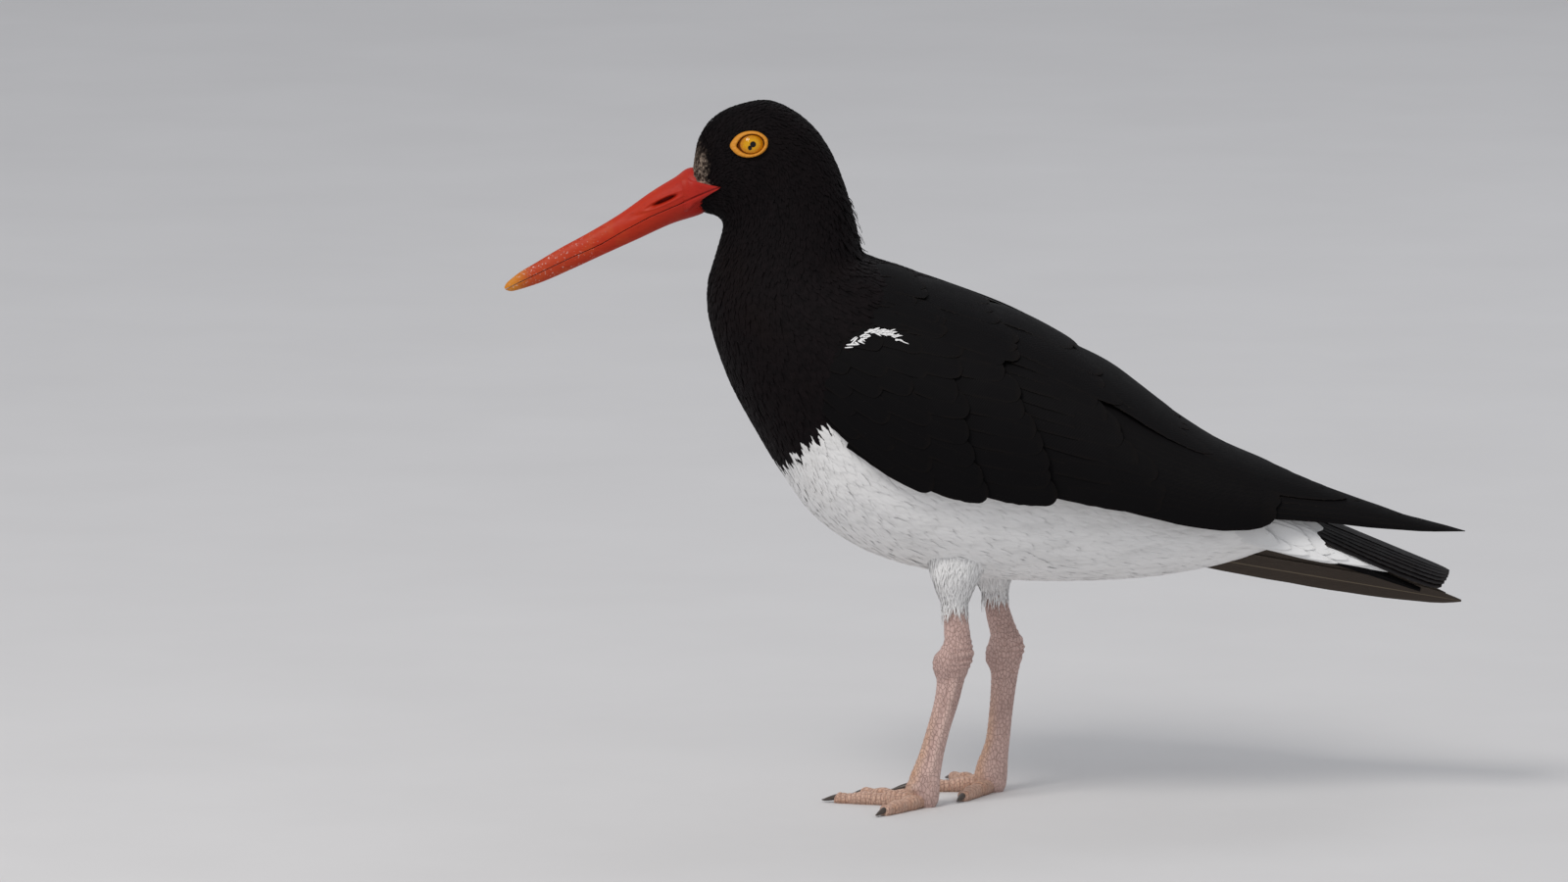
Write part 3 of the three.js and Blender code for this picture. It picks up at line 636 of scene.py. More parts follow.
# %% [markdown]
# The markings come from one rule that both skin and feathers obey. Head, neck, breast and back
# are black; the belly, the flanks, the vent and the feathers over the tail root are white. The
# border runs up the breast from its front edge to the bend of the wing, and it is ragged.

# %% Markings
BORDER = np.array([
    [-90.0, 92.0], [-73.0, 109.0], [-69.5, 113.6], [-62.0, 124.4], [-55.5, 130.5], [-48.0, 135.5],
    [-38.0, 140.0], [0.0, 140.0], [50.0, 120.0], [84.0, 106.0], [90.0, 150.0],
])


def is_white(points, ragged=0.0):
    """True where the plumage is white."""
    x, z = points[..., 0], points[..., 2]
    return (z < np.interp(x, BORDER[:, 0], BORDER[:, 1]) + ragged) & (x > -80)


def unwrap(t, a):
    """Where a place on the body lies on the flat map of its skin."""
    run = (t - BODY_START) / (BODY_END - BODY_START)
    return np.stack([0.02 + 0.96 * run, 0.02 + 0.96 * (a / TURN % 1.0)], -1)


print("white at the belly:", bool(is_white(np.array([0.0, 0.0, 80.0]))))

# %% [markdown]
# The skin is a smooth closed skin just inside the solids of head, neck and torso. It shows only
# through the gaps of the coat, so it carries the coat's colours and nothing finer.

# %% Skin
def skin():
    rings, sides = 260, 112
    t, a = loft_grid(BODY_START, BODY_END, rings, sides)
    points = body_point(t, a, COAT_DEPTH)
    faces = ring_faces(rings, sides)
    centres = points.reshape(-1, 3)[faces].mean(axis=1)
    heap = Heap()
    flat = unwrap(t, a).reshape(1, -1, 2)
    heap.add(points.reshape(1, -1, 3), faces, bake=flat, kind=is_white(centres)[None])
    return heap.made("body_skin", (black, white), "plumage_mixed")


body_skin = skin()
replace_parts(body_skin, "head", "neck", "torso")

# %% [markdown]
# A body feather is a thin curved blade, rooted in the skin and lying back over the next ones
# like a roof tile. Its middle line is walked over the surface in small steps, so that it bends
# with the body. The blade narrows to a point, as loose barbs do, so no row shows a hard edge.

# %% Feathers
rng = np.random.default_rng(29)
BLADE_SIDE = 0.22
BLADE_WIDTHS = ((0.0, 0.5), (0.3, 0.95), (0.62, 1.0), (0.85, 0.64), (1.0, 0.08))


def walk(surface, t, a, length, slant, marks):
    """Frames along a path over the surface from each root, at shares of its length."""
    frames, past = [], 0.0
    t, a = t.copy(), a.copy()
    for mark in marks:
        steps = max(1, int(math.ceil((mark - past) / 0.2)))
        for _ in range(steps if mark > past else 0):
            _, _, _, _, per_t, per_a = surface.frame(t, a)
            stride = length * (mark - past) / steps
            t = t + stride * np.cos(slant) / np.maximum(per_t, 0.6)
            a = a + stride * np.sin(slant) / np.maximum(per_a, 0.6)
        past = mark
        frames.append(surface.frame(t, a)[:4])
    return frames


def blades(surface, t, a, length, width, slant, root_lift, tip_lift, thick):
    """Closed blades, five sections of four points each, and the way each point faces."""
    sections, facing = [], []
    for (share, wide), (here, lie, side, out) in zip(
        BLADE_WIDTHS, walk(surface, t, a, length, slant, [s for s, _ in BLADE_WIDTHS])
    ):
        lift = (root_lift + (tip_lift - root_lift) * smooth(share * 1.1))[:, None]
        across = side * np.cos(slant)[:, None] - lie * np.sin(slant)[:, None]
        middle = here + out * lift
        edge = across * (width * wide)[:, None]
        drop = out * (width * 0.10)[:, None]
        below = middle - out * thick - drop
        sections.append(np.stack([middle - edge - drop, middle, middle + edge - drop, below], 1))
        facing.append(np.stack([out - across * BLADE_SIDE, out, out + across * BLADE_SIDE, -out], 1))
    facing = np.stack(facing, 1).reshape(len(t), -1, 3)
    return np.stack(sections, 1).reshape(len(t), -1, 3), unit(facing)


BLADE_FACES = ring_faces(len(BLADE_WIDTHS), 4)
BLADE_MAP = np.stack(
    [np.tile([-1.0, 0.0, 1.0, 0.0], len(BLADE_WIDTHS)), np.repeat([s for s, _ in BLADE_WIDTHS], 4)], -1
) * [0.0007, 0.0014]


def sown(surface, t_range, sectors, area, rng):
    """Roots spread evenly over a surface, in staggered files; area in square mm at each t."""
    fine = np.linspace(*t_range, 600)
    files = []
    edges = np.linspace(0.0, TURN, sectors + 1)
    for n in range(sectors):
        middle = np.full_like(fine, (edges[n] + edges[n + 1]) / 2)
        _, _, _, _, per_t, per_a = surface.frame(fine, middle)
        each = per_t * per_a * (edges[1] - edges[0]) / area(fine)
        total = np.concatenate([[0], np.cumsum((each[1:] + each[:-1]) / 2 * np.diff(fine))])
        marks = np.arange(0.25 + 0.5 * (n % 2), total[-1], 1.0)
        marks = np.clip(marks + rng.uniform(-0.3, 0.3, len(marks)), 0, total[-1])
        t = np.interp(marks, total, fine)
        files.append(np.stack([t, rng.uniform(edges[n], edges[n + 1], len(t))], 1))
    return np.concatenate(files).T


print("feather tools ready")

# %% [markdown]
# The coat's feathers are tiny on the face, short on the neck and long on the back and belly.
# None grows on the ring round the eye, on the bill, or where a wing covers the body.

# %% Coat plan
COAT = np.array([
    [-1.0, 2.1, 0.32, 0.34],
    [2.0, 2.6, 0.36, 0.42],
    [4.0, 3.4, 0.44, 0.60],
    [6.5, 4.6, 0.60, 0.95],
    [9.0, 7.0, 0.85, 1.7],
    [12.0, 10.0, 1.10, 2.0],
    [16.0, 13.5, 1.35, 2.5],
    [19.0, 14.5, 1.40, 2.5],
    [22.0, 13.0, 1.30, 2.2],
])
BARE_FACE = np.array([
    [-103.5, 213.2], [-99.4, 213.0], [-96.5, 212.7], [-90.0, 211.6], [-93.0, 209.1], [-96.4, 206.6],
    [-99.2, 204.6], [-100.6, 202.6], [-101.2, 198.0], [-106.0, 198.0],
])
WRAP = np.array([
    [-62, 185.0, 92.0, 33.0],
    [-48, 186.0, 88.0, 40.5],
    [-32, 184.4, 82.5, 43.4],
    [-14, 178.0, 78.5, 44.4],
    [10, 168.4, 76.0, 44.0],
    [40, 151.6, 75.5, 40.0],
    [60, 136.6, 76.5, 33.6],
    [78, 124.2, 79.0, 27.2],
    [97, 116.0, 84.0, 22.2],
    [115, 109.6, 87.4, 19.0],
    [135, 102.8, 89.0, 16.2],
    [152, 97.6, 90.0, 14.4],
    [168, 93.8, 88.8, 13.0],
])
CORE = np.array([
    [-56, 58, 84, 3],
    [-50, 40, 94, 9],
    [-40, 24, 99, 13],
    [-30, 17, 103, 15],
    [-17, 14, 107, 16],
    [0, 12, 105, 16],
    [20, 11, 103, 15],
    [40, 10, 99, 13],
    [60, 9, 92, 10],
    [80, 9, 92, 7],
    [97, 10, 88, 4.2],
    [115, 16, 84, 2.8],
    [135, 24, 76, 2.2],
    [150, 40, 68, 1.6],
])


def under_wing(points):
    """True where a folded wing lies over the body, well inside its edges."""
    x, y, z = np.moveaxis(points, -1, 0)
    top, bottom, half = columns(WRAP, np.clip(x, -60, 160))
    turn = np.degrees(np.arctan2(np.abs(y) / half, (z - (top + bottom) / 2) / ((top - bottom) / 2)))
    upper = np.interp(x, CORE[:, 0], CORE[:, 1])
    lower = np.interp(x, CORE[:, 0], CORE[:, 2])
    return (x > -44) & (x < 92) & (turn > upper + 9) & (turn < lower - 8)


def near_eye(points, margin):
    """True where a point lies inside the outer edge of the fleshy ring, widened by a margin."""
    run, rise = turned(points[..., 0] - LID["x"], points[..., 2] - LID["z"], LID["tilt"])
    run = (run + LID["forward"]) / (LID["outer"][0] + margin)
    rise = rise / (LID["outer"][1] + margin)
    return (run * run + rise * rise < 1) & (np.abs(points[..., 1]) > 6)


def bare_face(points):
    """True where a point lies in the bare wedge behind the corner of the mouth."""
    x, z = points[..., 0], points[..., 2]
    inside = np.zeros(x.shape, bool)
    for (x1, z1), (x2, z2) in zip(BARE_FACE, np.roll(BARE_FACE, -1, 0)):
        crossed = (z1 > z) != (z2 > z)
        inside ^= crossed & (x < (x2 - x1) * (z - z1) / (z2 - z1 + 1e-9) + x1)
    return inside


print("feathers before the eye stop at", round(LID["x"] - LID["outer"][0] - LID["forward"], 1))

# %% [markdown]
# The whole coat is grown in one sweep and then parted by colour, which the place of each tip
# decides. Its lengths vary a little at random, always from the same seed. Tips lift least on the
# face, so the head stays like velvet, and a few stand off the nape, where the bird has ruffled.

# %% Coat
def grow_coat():
    t, a = sown(body, (BODY_START, 21.9), 150, lambda t: np.interp(t, COAT[:, 0], COAT[:, 3]), rng)
    here = body.point(t, a)
    keep = ~under_wing(here) & ~near_eye(here, 0.1) & ~bare_face(here)
    t, a, here = t[keep], a[keep], here[keep]
    length = np.interp(t, COAT[:, 0], COAT[:, 1]) * rng.uniform(0.8, 1.2, len(t))
    width = np.interp(t, COAT[:, 0], COAT[:, 2]) * rng.uniform(0.8, 1.2, len(t))
    slant = rng.normal(0, 0.12, len(t))
    before_eye = near_eye(here + np.array([4.0, 0, 0]), 1.2) | near_eye(here + np.array([2.0, 0, 0]), 0.8)
    length = np.where(before_eye, length * 0.6, length)
    tip_lift = np.interp(t, [-1, 3, 6, 9, 14, 22], [0.5, 0.5, 0.6, 0.62, 0.6, 0.6])
    tip_lift = tip_lift * rng.uniform(0.75, 1.1, len(t))
    nape = (t > 6.9) & (t < 8.6) & (np.cos(a) > 0.8) & (rng.uniform(0, 1, len(t)) < 0.14)
    tip_lift = np.where(nape, tip_lift + rng.uniform(0.4, 1.7, len(t)), tip_lift)
    points, facing = blades(body, t, a, length, width, slant, np.full_like(t, -0.2), tip_lift, 0.08)
    clear = ~(near_eye(points, -0.25) | bare_face(points)).any(axis=1)
    pale = is_white(mix(here, points[:, -4:].mean(axis=1), 0.8), rng.normal(0, 1.3, len(t)))
    bake = unwrap(t, a)[:, None, :] + BLADE_MAP[None]
    return points[clear], facing[clear], bake[clear], pale[clear]


PIECE_TRIANGLES = 190000


def coat_pieces(name, chosen, finish, slot):
    """Cuts a coat into pieces along the body, each below the limit of triangles."""
    each = PIECE_TRIANGLES // len(BLADE_FACES)
    for n, start in enumerate(range(0, len(chosen), each)):
        pick = chosen[start : start + each]
        heap = Heap()
        heap.add(coat_points[pick], BLADE_FACES, bake=coat_bake[pick], out=coat_facing[pick])
        heap.made(f"{name}_{n + 1}", (finish,), slot)


coat_points, coat_facing, coat_bake, coat_pale = grow_coat()
coat_pieces("coat_black", np.flatnonzero(~coat_pale), black, "plumage_black")
coat_pieces("coat_white", np.flatnonzero(coat_pale), white, "plumage_mixed")
print(len(coat_pale), "body feathers,", int(coat_pale.sum()), "of them white")

# %% [markdown]
# A folded wing is a stack of overlapping rows. The primaries reach furthest back, the
# secondaries lie over their roots, then come the greater, median and lesser coverts, each row
# covering the roots of the row behind it like tiles. The tertials and scapulars lie on the back.
# They follow one wrapping surface, which droops on the right side. Only the long feathers of the
# right wing's hand, which hangs below the tail, are laid straight between two points.

# %% Wing shape
WING_END = 163.3
DROOP = {"x": -50.0, "z": 140.0, "angle": 8.8, "from": -45.0, "to": 60.0, "back": 9.5, "lift": 4.0,
         "out": 6.0, "narrow": 0.6}


def wrap_point(x, degrees, lift, side, droop):
    x, degrees, lift = np.broadcast_arrays(x, degrees, lift)
    top, bottom, half = columns(WRAP, x)
    bunched = droop * DROOP["narrow"] * smooth((x - 50) / 50)
    angle = np.radians(degrees + bunched * np.maximum(75 - degrees, 0))
    high = (top - bottom) / 2
    out = np.stack([np.zeros_like(high), np.sin(angle) * high, np.cos(angle) * half], -1)
    out = unit(out)
    p = np.stack([x, np.sin(angle) * half, (top + bottom) / 2 + np.cos(angle) * high], -1)
    p = p + out * lift[..., None]
    share = droop * smooth((p[..., 0] - DROOP["from"]) / (DROOP["to"] - DROOP["from"]))
    turn = np.radians(DROOP["angle"]) * share
    dx, dz = p[..., 0] - DROOP["x"], p[..., 2] - DROOP["z"]
    aside = droop * DROOP["out"] * smooth((p[..., 0] - 40) / 50)
    x_new = DROOP["x"] + dx * np.cos(turn) + dz * np.sin(turn) + DROOP["back"] * share
    z_new = DROOP["z"] + dz * np.cos(turn) - dx * np.sin(turn) + DROOP["lift"] * share
    return np.stack([x_new, side * (p[..., 1] + aside), z_new], -1)


def wing_place(start, end, side, droop):
    """Places along and across one feather that lies on the wrap."""

    def place(u, off, lift):
        x, degrees = mix(start[0], end[0], u), mix(start[1], end[1], u)
        top, bottom, half = columns(WRAP, x)
        angle = np.radians(degrees)
        round_here = np.hypot(np.cos(angle) * half, np.sin(angle) * (top - bottom) / 2)
        run_x, run_a = end[0] - start[0], round_here * np.radians(end[1] - start[1])
        length = np.hypot(run_x, run_a)
        turn = np.degrees(off * run_x / length / round_here)
        return wrap_point(x - off * run_a / length, degrees + turn, lift, side, droop)

    return place


print("wing tip at", wrap_point(WING_END, 62.0, 0.7, -1, 0.0).round(1))

# %% [markdown]
# One feather is a thin closed blade with a raised shaft. Across, it is a shallow arch that
# leans, so that its upper edge slips under the next feather and its lower edge lies on top.
# Small notches along the edge keep the rows from looking like roof tiles, and the light treats
# the whole wing as one smooth surface, because real barbs zip neighbouring vanes together.

# %% Vanes
OUTLINES = {
    "pointed": [[0, 0.8], [0.4, 1], [0.7, 0.93], [0.86, 0.72], [0.95, 0.44], [1, 0.10]],
    "long": [[0, 0.8], [0.35, 1], [0.75, 1], [0.91, 0.86], [0.97, 0.6], [1, 0.16]],
    "quill": [[0, 0.2], [0.12, 0.8], [0.45, 1], [0.7, 0.93], [0.86, 0.72], [0.95, 0.44], [1, 0.10]],
    "round": [[0, 0.75], [0.4, 1], [0.76, 0.97], [0.91, 0.8], [0.97, 0.54], [1, 0.14]],
}
ACROSS = np.array([-1.0, -0.62, -0.14, 0.0, 0.14, 0.62, 1.0])
RIDGE = np.array([0.0, 0.0, 0.0, 0.10, 0.0, 0.0, 0.0])
SECTIONS = 18
VANE_FACES = ring_faces(SECTIONS, 2 * len(ACROSS))
VANE_KIND = np.where((VANE_FACES % (2 * len(ACROSS)) >= len(ACROSS)).sum(axis=1) >= 2, 1, 0)


def vane(heap, place, half, outline, lift, thick, tilt, sunk, rng):
    u = (1 - (1 - np.linspace(0, 1, SECTIONS)) ** 1.35)[:, None]
    share = along(OUTLINES[outline], u[:, 0])
    ragged = 1 - 0.05 * rng.uniform(0, 1, (SECTIONS, len(ACROSS))) * np.abs(ACROSS)
    off = share * half * ACROSS * ragged
    high = mix(-sunk, lift, smooth(1.6 * u)) + tilt / 2 * ACROSS + 0.035 * half * (1 - ACROSS**2)
    top = place(u, off, high + RIDGE * (1 - 0.6 * u))
    out = unit(place(u, off, high + 1.0) - place(u, off, high))
    slab = thick * (1 - 0.75 * np.abs(ACROSS)) * mix(1.0, 0.5, u) + 0.05
    under = place(u, off, high - slab)
    points = np.concatenate([top, under[:, ::-1]], 1).reshape(1, -1, 3)
    facing = np.concatenate([out, -out[:, ::-1]], 1)
    both = np.concatenate([ACROSS, ACROSS[::-1]])
    local = np.stack(np.broadcast_arrays(both * 0.5 + 0.5, u), -1).reshape(1, -1, 2)
    bake = np.array([heap.slot_x, heap.slot_y]) + local * [heap.cell * 0.8, heap.cell * 4]
    heap.slot_x += heap.cell
    if heap.slot_x > 0.97:
        heap.slot_x, heap.slot_y = 0.01, heap.slot_y + heap.cell * 4.4
    heap.add(points, VANE_FACES, bake=bake, vane=local, kind=VANE_KIND[None], out=facing)


# Each row: how many feathers, x and degrees of the first and last root and of the first and last
# tip, half width, lift of the tip, and the outline.
WING_ROWS = {
    "primaries": (8, (52, 86), (68, 40), (WING_END, 62), (113, 27), 4.3, 0.7, "pointed"),
    "secondaries": (10, (4, 95), (30, 56), (98.5, 86), (101, 46), 5.8, 1.2, "long"),
    "tertials": (4, (34, 44), (28, 19), (123, 42), (100, 17), 7.6, 1.2, "pointed"),
    "greater": (10, (18, 97), (-2, 46), (62, 86.5), (38, 43), 6.0, 1.3, "round"),
    "median": (10, (-8, 103), (-26, 42), (27, 99), (3, 38), 5.8, 1.25, "round"),
    "lesser": (10, (-30, 103), (-42, 38), (1, 106.5), (-14, 34), 5.6, 1.15, "round"),
    "small": (9, (-46, 98), (-50, 36), (-15, 109), (-28, 34), 5.4, 1.05, "round"),
    "marginal": (8, (-54, 88), (-54, 40), (-31, 105), (-40, 38), 5.0, 1.0, "round"),
    "edge": (7, (-58, 80), (-57, 50), (-44, 97), (-47, 44), 4.6, 0.8, "round"),
    "back_scapulars": (5, (12, 36), (16, 13), (78, 37), (62, 12), 6.4, 1.35, "pointed"),
    "scapulars": (5, (-14, 40), (-8, 12), (44, 40), (30, 11), 6.2, 1.35, "round"),
    "shoulder": (6, (-38, 42), (-30, 14), (12, 43), (2, 13), 5.6, 1.3, "round"),
    "mantle": (6, (-50, 42), (-46, 17), (-16, 43), (-22, 15), 5.0, 1.2, "round"),
}


def vane_heap(cell):
    heap = Heap()
    heap.cell, heap.slot_x, heap.slot_y = cell, 0.01, 0.01
    return heap


def wing_core(heap, side, droop):
    rings, across = 70, 20
    x = np.linspace(-56, 149, rings)[:, None]
    upper, lower, depth = (np.interp(x, CORE[:, 0], CORE[:, k]) for k in (1, 2, 3))
    share = np.linspace(0, 1, across)[None]
    outer = wrap_point(x, mix(upper, lower, share), -0.35, side, droop)
    inner = wrap_point(x, mix(lower, upper, share), -np.minimum(depth, 3.4) + 0.2, side, droop)
    out = wrap_point(x, mix(upper, lower, share), 0.65, side, droop) - outer
    points = np.concatenate([outer, inner], 1).reshape(1, -1, 3)
    facing = np.concatenate([out, -out[:, ::-1]], 1)
    faces = ring_faces(rings, 2 * across)
    heap.add(points, faces, bake=np.array([0.985, 0.5]), vane=np.array([0.3, 0.5]), out=facing)


def flat_place(start, end, face):
    """Places along and across one straight feather whose upper side faces a given way."""
    start, end, face = (np.array(v, float) for v in (start, end, face))
    ahead = (end - start) / np.linalg.norm(end - start)
    across = np.cross(face, ahead)
    across /= np.linalg.norm(across)
    face = np.cross(ahead, across)

    def place(u, off, lift):
        u, off, lift = (v[..., None] for v in np.broadcast_arrays(u, off, lift))
        return mix(start, end, u) + across * off + face * lift

    return place


# The hand of the hanging wing: where each long primary, and each covert over its root, starts
# and ends.
HAND = [
    ((58, 31.5, 81.6), (WING_END, 17.6, 65.6), 4.2, "quill"),
    ((56, 32.0, 85.0), (158, 18.4, 68.0), 4.5, "quill"),
    ((56, 31.5, 88.3), (150, 19.2, 71.5), 4.8, "quill"),
    ((56, 30.5, 92.7), (141, 19.8, 76.0), 5.0, "quill"),
    ((34, 33.5, 103.0), (83, 31.2, 79.6), 5.0, "round"),
    ((30, 34.5, 107.0), (74, 33.2, 84.5), 5.4, "round"),
    ((42, 33.0, 107.0), (93, 30.4, 82.0), 5.4, "round"),
]


def wing(name, side, droop):
    heap = vane_heap(0.019)
    wing_core(heap, side, droop)
    rng = np.random.default_rng(int(7 + side))
    for count, first_root, last_root, first_tip, last_tip, half, lift, outline in WING_ROWS.values():
        for n in range(count):
            share = n / (count - 1)
            jitter = rng.normal(0, 0.75, 2) * (1.7 if first_tip[0] < 90 else 0.25)
            start = [mix(first_root[k], last_root[k], share) for k in (0, 1)]
            end = [mix(first_tip[k], last_tip[k], share) + jitter[k] * (1.6, 0.8)[k] for k in (0, 1)]
            end[0] = min(end[0], WING_END)
            low = lift - 2.4 * droop * (first_root[1] < 45)
            vane(heap, wing_place(start, end, side, droop), half, outline, low, 0.4, 0.4, 1.2, rng)
    for start, end, half, outline in HAND if droop else ():
        vane(heap, flat_place(start, end, (0.1, 0.97, 0.2)), half, outline, 0.0, 0.5, 0.3, 0.0, rng)
    return heap.made(name, (upper_vane, under_vane), "plumage_black", ("OFBake", "Vane"))


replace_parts(wing("wing_feathers_left", -1, 0.0), "wing_left")
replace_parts(wing("wing_feathers_right", 1, 1.0), "wing_right")

# %% [markdown]
# The tail is a low arched fan of twelve black feathers, the middle pair on top. It closes to a
# nearly square end below the wing tips.

# %% Tail
TAIL = {"root": (96.0, 105.2), "tip": (158.5, 79.0), "spread": (4.0, 12.5), "half": 6.6, "arch": (9.0, 3.2),
        "step": 0.32, "notch": 3.0}


def tail_place(s, layer):
    def place(u, off, lift):
        y = mix(TAIL["spread"][0], TAIL["spread"][1], np.sqrt(u)) * s + off
        x = mix(TAIL["root"][0], TAIL["tip"][0] - TAIL["notch"] * s * s, u)
        z = mix(TAIL["root"][1], TAIL["tip"][1], u) - layer * mix(0.3, 1.0, u)
        z = z - mix(*TAIL["arch"], u) * (y / (TAIL["spread"][1] + TAIL["half"])) ** 2
        x, y, z, lift = np.broadcast_arrays(x, y, z, lift)
        return np.stack([x + 0.34 * lift, y, z + 0.94 * lift], -1)

    return place


def tail():
    heap = vane_heap(0.07)
    rng = np.random.default_rng(5)
    for n in range(12):
        s = n / 5.5 - 1
        layer = (abs(s) * 6 + (0.5 if s > 0 else 0)) * TAIL["step"]
        vane(heap, tail_place(s, layer), TAIL["half"], "long", -0.2, 0.6, -0.5 * np.sign(s), 0.2, rng)
    return heap.made("tail_feathers", (tail_vane, under_vane), "plumage_black", ("OFBake", "Vane"))


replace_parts(tail(), "tail")

# %% [markdown]
# White coverts close the gap between body and tail. Above they stop soon and leave the tail
# black; below they are long, and from the side they show as a white strip under its edge. Their
# white is painted brighter than the body's, as painted light where the wing shades them.

# %% Tail coverts
# Each row: y and z of the root; x, y and z of the tip; y and z of the way it faces; half width.
COVERTS = numbered([
    [5.0, 104.0, 113.0, 6.0, 98.0, 0.35, 0.94, 4.6],
    [11.0, 101.0, 112.5, 13.0, 94.8, 0.85, 0.50, 3.6],
    [13.0, 98.5, 116.0, 15.4, 90.2, 1.00, 0.15, 2.8],
    [12.5, 96.5, 124.0, 15.6, 85.4, 1.00, 0.05, 2.3],
    [11.0, 94.6, 139.0, 14.8, 80.4, 0.95, -0.20, 1.9],
    [6.0, 93.4, 126.0, 7.5, 85.0, 0.40, -0.90, 4.0],
])


def tail_coverts():
    heap = vane_heap(0.07)
    rng = np.random.default_rng(11)
    for side in (-1, 1):
        for t in np.linspace(0, 5, 16):
            start_y, start_z, tip_x, tip_y, tip_z, face_y, face_z, half = along(COVERTS, t)
            for back in (0.0, 6.0, 13.0):
                above = 0.05 * back
                start = (82 + rng.uniform(-8, 4), side * (start_y + above * face_y), start_z + above * face_z)
                tip_x -= back + rng.normal(0, 0.8)
                end = (tip_x, side * (tip_y + above * face_y), tip_z + 0.25 * back + above * face_z)
                place = flat_place(start, end, (0.15, side * face_y, face_z))
                vane(heap, place, half, "pointed", 0.3, 0.3, 0.2, 1.6, rng)
    return heap.made("tail_coverts", (covert_vane_painted_light, covert_vane_painted_light), "plumage_mixed", ("OFBake", "Vane"))


tail_coverts()

# %% [markdown]
# A few white feathers break through on the near shoulder, where the scapulars part. They are
# sown along a short ragged line on the wing's own wrapping surface.

# %% Shoulder mark
SHOULDER_LINE = np.array([
    [-47.5, 61.5], [-43.0, 57.3], [-40.0, 54.2], [-36.5, 52.8], [-33.0, 53.2], [-29.5, 54.8],
])


def shoulder_mark():
    rng = np.random.default_rng(3)
    surface = Surface(lambda x, degrees: wrap_point(x, degrees, 0.0, -1, 0.0), 0.5, 0.5)
    count = 64
    x = rng.uniform(*SHOULDER_LINE[[0, -1], 0], count)
    degrees = np.interp(x, SHOULDER_LINE[:, 0], SHOULDER_LINE[:, 1]) + rng.normal(0, 0.55, count)
    length, width = rng.uniform(1.8, 4.2, count), rng.uniform(0.18, 0.36, count)
    points, facing = blades(surface, x, degrees, length, width, rng.normal(-0.1, 0.3, count),
                            np.full(count, 0.9), rng.uniform(1.5, 1.9, count), 0.1)
    bake = np.stack([0.1 + (x + 51) / 30, 0.1 + (degrees - 50) / 30], -1)[:, None] + BLADE_MAP[None]
    heap = Heap()
    heap.add(points, BLADE_FACES, bake=bake, out=facing)
    return heap.made("shoulder_mark", (white,), "plumage_mixed")


shoulder_mark()

# %% [markdown]
# The bill is as long as the head and nearly straight, a tall thin blade that splits along the
# mouth line. Each half is its own loft: its section is the part of one superellipse that lies
# on its side of the mouth line. A shallow groove runs forward from the slit of the nostril.

# %% Bill
BILL = numbered([
    [-89.0, 214.5, -86.0, 205.5, 5.2],
    [-99.4, 217.0, -93.5, 202.6, 6.5],
    [-105.5, 213.5, -97.3, 200.7, 5.8],
    [-113.6, 208.5, -106.8, 197.6, 4.5],
    [-123.8, 201.2, -118.1, 192.4, 3.5],
    [-134.0, 195.0, -129.1, 187.4, 2.9],
    [-144.2, 189.4, -139.9, 182.4, 2.4],
    [-152.5, 184.4, -148.9, 178.4, 2.0],
    [-158.0, 181.1, -155.0, 176.2, 1.6],
    [-162.2, 177.7, -160.4, 174.7, 1.2],
    [-163.3, 175.9, -162.6, 175.0, 0.8],
])
MOUTH = np.array([
    [-170.0, 171.6], [-158.4, 177.7], [-151.6, 181.0], [-141.6, 185.9], [-130.4, 191.0], [-122.2, 195.9],
    [-113.6, 200.6], [-104.6, 204.6], [-96.5, 208.6], [-92.2, 210.9], [-89.5, 211.7], [-80.0, 212.6],
])
BILL_FULLNESS = 1.8


def mouth_share(top, low):
    """How far from the bill's middle, as a share of its half height, the mouth line runs."""
    share = np.linspace(-1, 1, 201)
    x = mix(low[0], top[0], (share + 1) / 2)
    z = mix(low[1], top[1], (share + 1) / 2)
    return share[np.argmin(np.abs(z - np.interp(x, MOUTH[:, 0], MOUTH[:, 1])))]


def hollow(points):
    """How deep the nostril and the groove before it sink into the side of the bill."""
    run, rise = turned(points[..., 0] - NOSTRIL["x"], points[..., 2] - NOSTRIL["z"], NOSTRIL["tilt"])
    away = np.hypot(run / (NOSTRIL["long"] / 2), rise / (NOSTRIL["high"] / 2))
    slit = 1 - smooth((away - 0.45) / 0.65)
    raised = np.exp(-(((away - 1.7) / 0.5) ** 2))
    rise = rise - 0.05 * (run + 4)
    groove = (1 - smooth(np.abs(rise) / 1.7)) * smooth((6.5 - run) / 5) * smooth((run + 19) / 12)
    return 2.0 * slit + 0.45 * groove * (1 - raised) - 0.22 * raised


